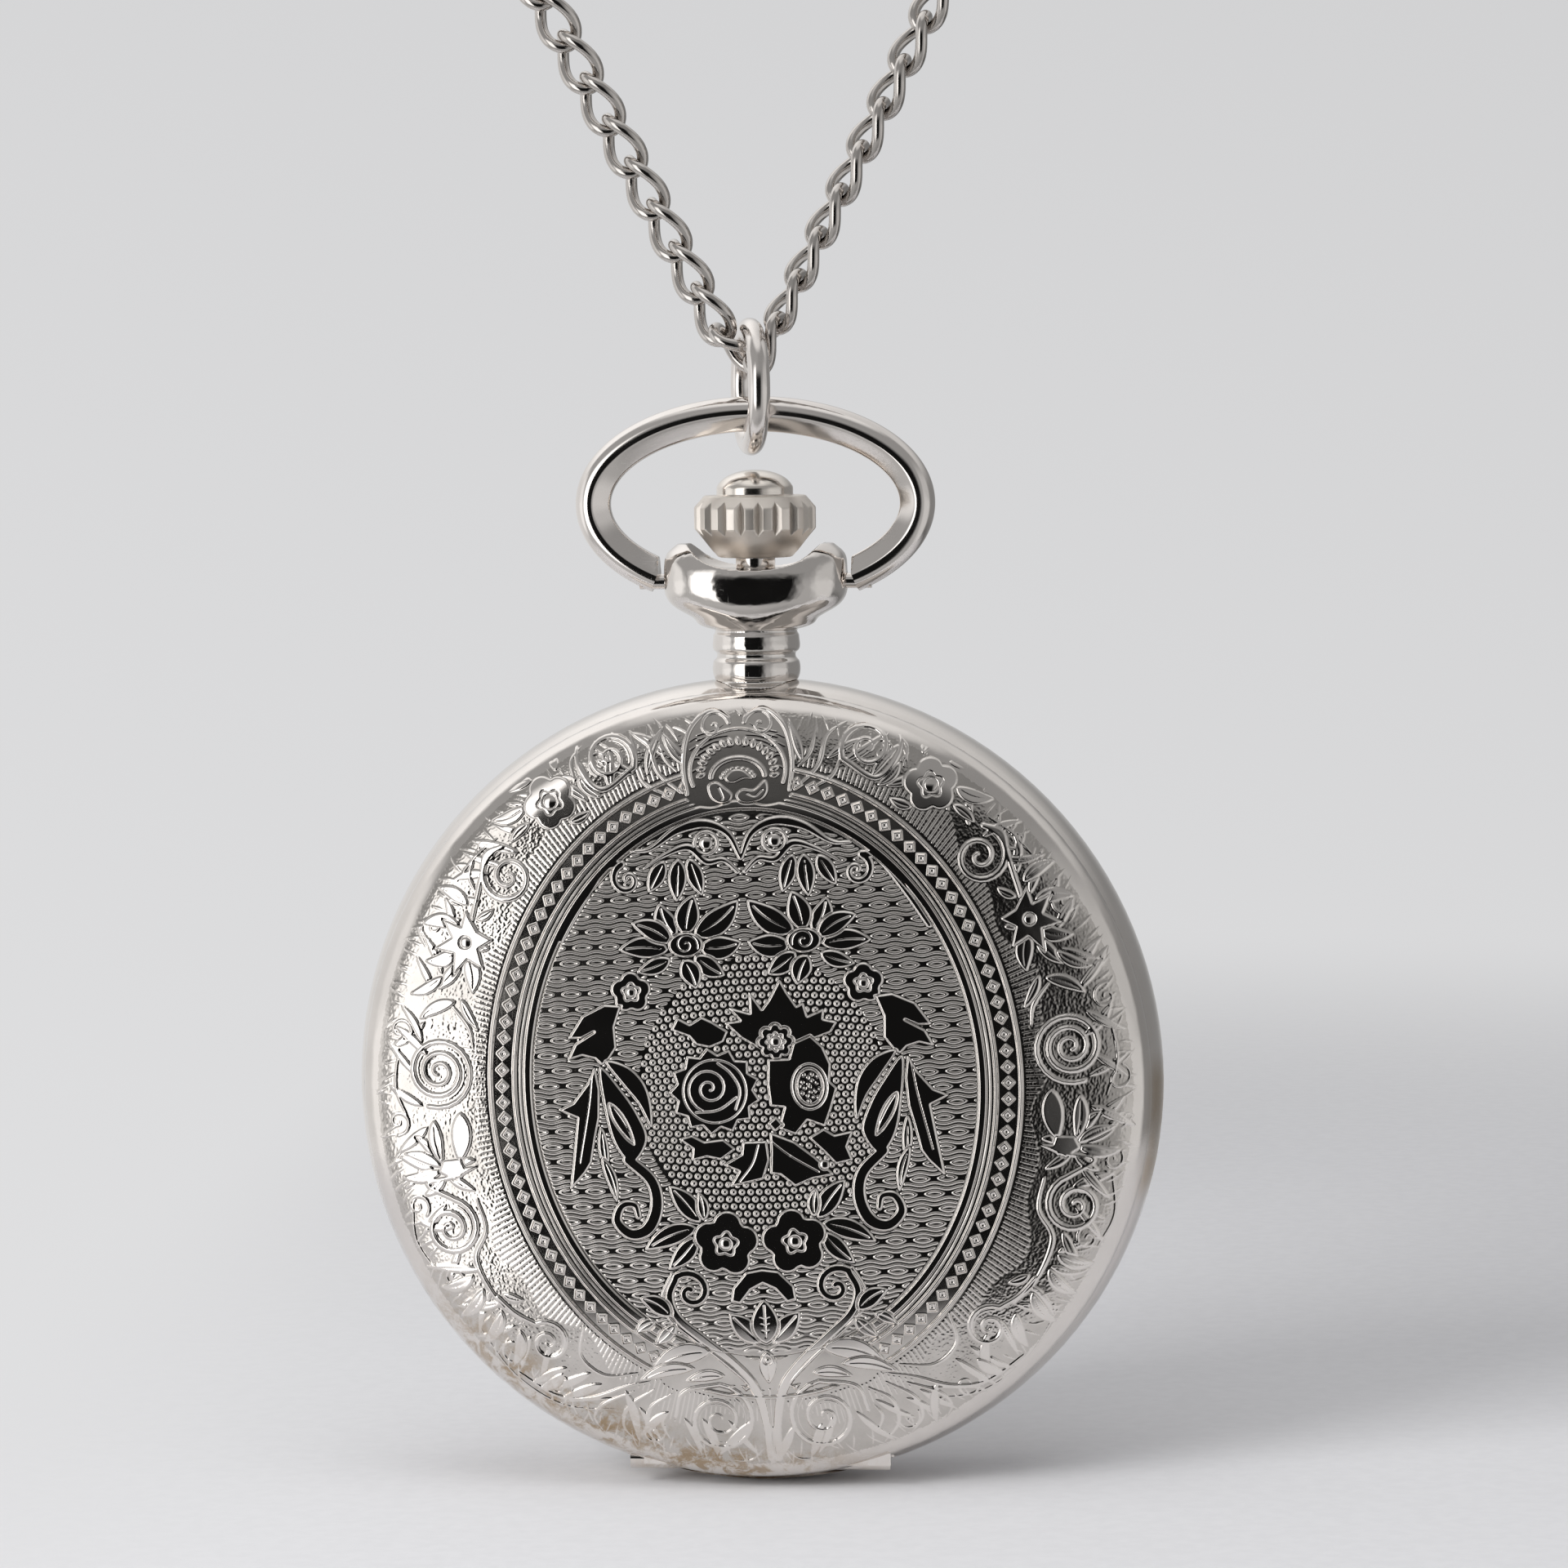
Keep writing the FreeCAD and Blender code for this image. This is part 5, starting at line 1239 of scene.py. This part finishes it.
def build_bow():
    lower = [(out, -depth) for out, depth in BOW_SECTION[:0:-1]]
    section = spline([*BOW_SECTION, (-1.0, 0.0), *lower], 3, closed=True) * BOW_HALF_THICKNESS
    reach = math.radians(148)
    t = np.linspace(-reach, reach, 261)
    x, z = BOW_A * np.sin(t), BOW_Z + BOW_B * np.cos(t)
    t = t[~((np.abs(x) < BOW_OPENING) & (z < BOW_Z))]
    end = math.pi - math.asin(BOW_OPENING / BOW_A)
    t = np.concatenate([[-end], t, [end]])
    x, z = BOW_A * np.sin(t), BOW_Z + BOW_B * np.cos(t)
    run_x, run_z = BOW_A * np.cos(t), -BOW_B * np.sin(t)
    length = np.hypot(run_x, run_z)
    out_x, out_z = -run_z / length, run_x / length
    loops = []
    for k in range(len(t)):
        loop_x = x[k] + out_x[k] * section[:, 0]
        loop_z = z[k] + out_z[k] * section[:, 0]
        if z[k] < 31.5:
            loop_x = np.sign(x[k]) * np.maximum(np.abs(loop_x), BOW_END_CUT)
        loops.append(np.stack([loop_x, CROWN_Y + section[:, 1], loop_z], 1))
    verts = np.concatenate([*loops, loops[0].mean(0)[None], loops[-1].mean(0)[None]])
    size = len(section)
    first = np.arange(size)
    last = (len(t) - 1) * size + first
    tris = np.concatenate([
        np.stack([first, np.full(size, len(verts) - 2), np.roll(first, -1)], 1),
        np.stack([last, np.roll(last, -1), np.full(size, len(verts) - 1)], 1)])
    bow = make_mesh("bow_forged", verts, tube_quads(len(t), size), MATERIALS["bow_metal"], tris)
    bow.data.set_sharp_from_angle(angle=math.radians(40))
    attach(bow, "bow")
    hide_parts("bow")


def polish_pendant():
    """Closes and evens out the pendant's skin so that it mirrors without facets."""
    pendant = frame["nodes"]["pendant"]
    remesh = pendant.modifiers.new("even_skin", "REMESH")
    remesh.mode = "VOXEL"
    remesh.voxel_size = 0.00006
    remesh.use_smooth_shade = True
    polish = pendant.modifiers.new("polish", "SMOOTH")
    polish.factor = 0.5
    polish.iterations = 5


build_crown()
build_bow()
polish_pendant()

# ---------------------------------------------------------------- dial print
ROMAN = ["XII", "I", "II", "III", "IV", "V", "VI", "VII", "VIII", "IX", "X", "XI"]
PRINT_BACK, PRINT_FRONT = 8.695, 8.715     # distances in front of the XZ plane
NUMERAL_IN, NUMERAL_OUT = 12.1, 15.3       # radii of the numerals
TRACK_IN, TRACK_OUT = 16.75, 17.55         # radii of the minute track
LETTERS = {  # letter width, then strokes: start across, radius; end across, radius; width
    "I": (0.62, [(0, NUMERAL_IN, 0, NUMERAL_OUT, .30)]),
    "V": (1.55, [(-.52, NUMERAL_OUT, .02, NUMERAL_IN, .32),
                 (.52, NUMERAL_OUT, .04, NUMERAL_IN, .12)]),
    "X": (1.60, [(-.52, NUMERAL_OUT, .52, NUMERAL_IN, .32),
                 (.52, NUMERAL_OUT, -.52, NUMERAL_IN, .12)])}


def bar(start, end, width):
    run = (end - start) / np.linalg.norm(end - start)
    half = np.array([-run[1], run[0]]) * width / 2
    return [start - half, end - half, end + half, start + half]


def numeral_bars(hour, text):
    angle = math.radians(90 - 30 * hour)
    out = np.array([math.cos(angle), math.sin(angle)])
    across = np.array([math.sin(angle), -math.cos(angle)])
    bars = []
    left = -sum(LETTERS[letter][0] for letter in text) / 2
    for letter in text:
        width, strokes = LETTERS[letter]
        middle = left + width / 2
        left += width
        serif = width * 0.40
        serifs = [(-serif, r, serif, r, 0.10) for r in (NUMERAL_IN, NUMERAL_OUT)]
        for u0, r0, u1, r1, thick in strokes + serifs:
            bars.append(bar(across * (middle + u0) + out * r0,
                            across * (middle + u1) + out * r1, thick))
    return bars


def build_dial_print():
    """Thin four-sided prisms: numerals, minute ticks and three circles."""
    bars = []
    for hour, text in enumerate(ROMAN):
        bars += numeral_bars(hour, text)
    for k in range(60):
        out = np.array(at_angle(1, math.radians(6 * k)))
        bars.append(bar(out * TRACK_IN, out * TRACK_OUT, 0.10 if k % 5 else 0.26))
    for radius, width in ((TRACK_IN, 0.07), (TRACK_OUT, 0.07), (11.3, 0.06)):
        for k in range(180):
            start, end = math.radians(2 * k), math.radians(2 * k + 2)
            bars.append([at_angle(radius, start), at_angle(radius, end),
                         at_angle(radius + width, end), at_angle(radius + width, start)])
    verts = []
    for outline in np.array(bars, float):
        first, second = outline[1] - outline[0], outline[2] - outline[1]
        if first[0] * second[1] - first[1] * second[0] < 0:
            outline = outline[::-1]
        for depth in (PRINT_BACK, PRINT_FRONT):
            verts += [(x, -depth, z) for x, z in outline]
    faces = [[3, 2, 1, 0], [4, 5, 6, 7]]
    faces += [[i, (i + 1) % 4, 4 + (i + 1) % 4, 4 + i] for i in range(4)]
    quads = (np.array(faces)[None] + 8 * np.arange(len(bars))[:, None, None]).reshape(-1, 4)
    dial_print = make_mesh("dial_print", verts, quads, MATERIALS["dial_ink"], smooth=False)
    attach(dial_print, "case")


build_dial_print()


# ---------------------------------------------------------------- surroundings
def room_light(nodes):
    """What the metal mirrors. Behind the camera (-Y) the room is dim with a near-black
    centre; a bright wall stands to the left, grey to the right, pale above and below."""
    ramp, calc = nodes.ramp, nodes.calc
    x, y, z = nodes.split(nodes.add("ShaderNodeTexCoord").outputs["Generated"])
    front = calc("MAXIMUM", calc("MULTIPLY", y, -1.0), 0.02)
    across = calc("DIVIDE", x, front)
    up = calc("DIVIDE", z, front)
    # 0 in the dark centre, 1 outside it
    outside = calc("MAXIMUM", ramp(across, -0.48, -0.525), ramp(across, 0.30, 0.66),
                   ramp(up, 0.22, 0.60), ramp(up, -0.62, -0.84), ramp(y, -0.3, -0.05))
    # soft-edged bright panel on the left
    panel = calc("MULTIPLY", ramp(across, -0.46, -0.515), ramp(across, -1.75, -1.05),
                 ramp(up, -0.85, -0.48), ramp(up, 0.90, 0.42))
    base = calc("ADD", ramp(across, -0.3, 0.35, 0.50, 0.44), ramp(up, -0.1, 0.45, 0.0, -0.12))
    room = calc("ADD", calc("MULTIPLY", panel, 1.45), base)
    room = calc("ADD", room, ramp(x, -0.86, -0.95, 0.0, 0.55))    # far left
    right = calc("MULTIPLY", ramp(x, 0.62, 0.80, 0.0, 0.24), ramp(z, 0.7, 0.3))
    room = calc("ADD", room, right)
    room = calc("ADD", room, ramp(z, 0.82, 0.96, 0.0, 0.55))      # overhead
    room = calc("SUBTRACT", room, ramp(z, -0.66, -0.86, 0.0, 0.10))
    # the half behind the watch (+Y)
    sides = calc("ADD", ramp(x, -0.5, 0.5, 0.78, 0.26), ramp(z, 0.2, 0.7, 0.0, 0.40))
    back = calc("ADD", sides, ramp(z, -0.2, -0.6, 0.0, -0.14))
    room = calc("ADD", calc("MULTIPLY", room, ramp(y, -0.05, 0.20, 1.0, 0.0)),
                calc("MULTIPLY", back, ramp(y, -0.05, 0.20)))
    return calc("MULTIPLY", room, calc("ADD", calc("MULTIPLY", outside, 0.985), 0.015))


def build_world():
    """Separate surroundings for reflections, diffuse light and the camera."""
    world = bpy.data.worlds.new("studio")
    scene.world = world
    world.use_nodes = True
    nodes = Nodes(world.node_tree)

    def background(color, strength=1.0):
        return nodes.add("ShaderNodeBackground", {"Color": color, "Strength": strength}).outputs[0]

    mirrored = background(room_light(nodes))
    backdrop = background(nodes.backdrop_color())
    diffuse = background((0.80, 0.80, 0.82), strength=0.36)
    ray = nodes.add("ShaderNodeLightPath").outputs
    lighting = nodes.mix_shader(ray["Is Diffuse Ray"], mirrored, diffuse)
    seen = nodes.mix_shader(ray["Is Camera Ray"], lighting, backdrop)
    nodes.add("ShaderNodeOutputWorld", {"Surface": seen})


def floor_material():
    """Matte near the object. To the camera it melts into the backdrop further off, glowing there
    with the painted backdrop colour; for other rays it turns transparent there and in front."""
    mat = Material("floor_matte")
    x, y, _ = mat.split(mat.position)
    distance = mat.calc("SQRT", mat.calc("ADD", mat.calc("MULTIPLY", x, x),
                                         mat.calc("MULTIPLY", y, y)))
    grain = mat.ramp(mat.noise(900.0, 4, 0.6), 0.3, 0.7)
    color = mat.mix(grain, (0.80, 0.80, 0.815), (0.775, 0.775, 0.79))
    matte = mat.add("ShaderNodeBsdfDiffuse", {"Color": color}).outputs[0]
    # painted light: a glow in the backdrop colour, with its painted falloff, stands in for the lit
    # far floor
    backdrop = mat.add("ShaderNodeEmission", {"Color": mat.backdrop_color()}).outputs[0]
    clear = mat.add("ShaderNodeBsdfTransparent").outputs[0]
    beside = mat.calc("MAXIMUM", mat.ramp(x, -0.014, -0.060), mat.ramp(x, 0.050, 0.120))
    melt = mat.calc("MAXIMUM", mat.ramp(distance, 0.110, 0.300), beside)
    vanish = mat.calc("MAXIMUM", mat.ramp(distance, 0.060, 0.110), mat.ramp(y, -0.026, -0.040))
    camera_ray = mat.add("ShaderNodeLightPath").outputs["Is Camera Ray"]
    mat.shade(mat.mix_shader(camera_ray, mat.mix_shader(vanish, matte, clear),
                             mat.mix_shader(melt, matte, backdrop)))
    return mat.material


def build_floor():
    """A wide disc just under the watch, its rings growing outward."""
    floor_z = cad_low.z / MM - 0.02
    rings, around = 40, 96
    angle = np.linspace(0, 2 * np.pi, around, endpoint=False)
    verts = [np.array([[0.0, 0.0, floor_z]])]
    for radius in np.geomspace(6, 900, rings):
        verts.append(np.stack([radius * np.cos(angle), radius * np.sin(angle),
                               np.full(around, floor_z)], 1))
    i = 1 + np.arange(rings * around).reshape(rings, around)
    after = np.roll(i, -1, 1)
    quads = np.stack([i[:-1], i[1:], after[1:], after[:-1]], -1).reshape(-1, 4)
    tris = np.stack([np.zeros(around, int), i[0], after[0]], 1)
    floor = make_mesh("floor", np.concatenate(verts), quads, floor_material(), tris)
    # the floor drops as the cover swings down, so the open cover never dips into it
    drop = floor.constraints.new("TRANSFORM")
    drop.target = frame["bodies"]["front_cover"]
    drop.map_from, drop.map_to = "ROTATION", "LOCATION"
    drop.from_min_x_rot, drop.from_max_x_rot = 0.0, math.radians(100)
    drop.map_to_x_from, drop.map_to_y_from, drop.map_to_z_from = "Y", "Z", "X"
    drop.to_min_z, drop.to_max_z = 0.0, -8.9 * MM
    drop.mix_mode = "ADD"


def area_light(name, place, target, size, power):
    """A rectangular light aimed at target, hidden from reflections."""
    light = bpy.data.lights.new(name, "AREA")
    light.shape = "RECTANGLE"
    light.size, light.size_y = size[0] * MM, size[1] * MM
    light.energy = power
    lamp = bpy.data.objects.new(name, light)
    scene.collection.objects.link(lamp)
    lamp.location = Vector(place) * MM
    lamp.rotation_mode = "QUATERNION"
    lamp.visible_glossy = False
    aim = Vector(target) * MM - lamp.location
    lamp.rotation_quaternion = aim.to_track_quat("-Z", "Y")


def build_camera():
    place = Vector((33.05, -332.08, 43.46)) * MM
    forward = Vector((-0.09608, 0.99217, -0.07981))
    right = Vector((0.99537, 0.09558, -0.01006))
    up = Vector((0.00235, 0.08041, 0.99676))
    camera = bpy.data.cameras.new("camera")
    holder = bpy.data.objects.new("camera", camera)
    scene.collection.objects.link(holder)
    scene.camera = holder
    camera.sensor_width = 36.0
    camera.lens = 129.4875
    camera.clip_start, camera.clip_end = 0.01, 10.0
    rows = [(*axes, origin) for *axes, origin in zip(right, up, -forward, place)]
    holder.matrix_world = Matrix((*rows, (0, 0, 0, 1)))


build_world()
build_floor()
area_light("key_left", place=(-270, -330, 165), target=(0, -5, 5), size=(240, 230), power=1.85)
area_light("top_soft", place=(0, -120, 420), target=(0, -5, 10), size=(420, 360), power=0.62)
area_light("right_fill", place=(420, -170, 120), target=(0, -5, 5), size=(200, 300), power=0.16)
build_camera()
scene.view_settings.view_transform = "Standard"
scene.view_settings.look = "None"
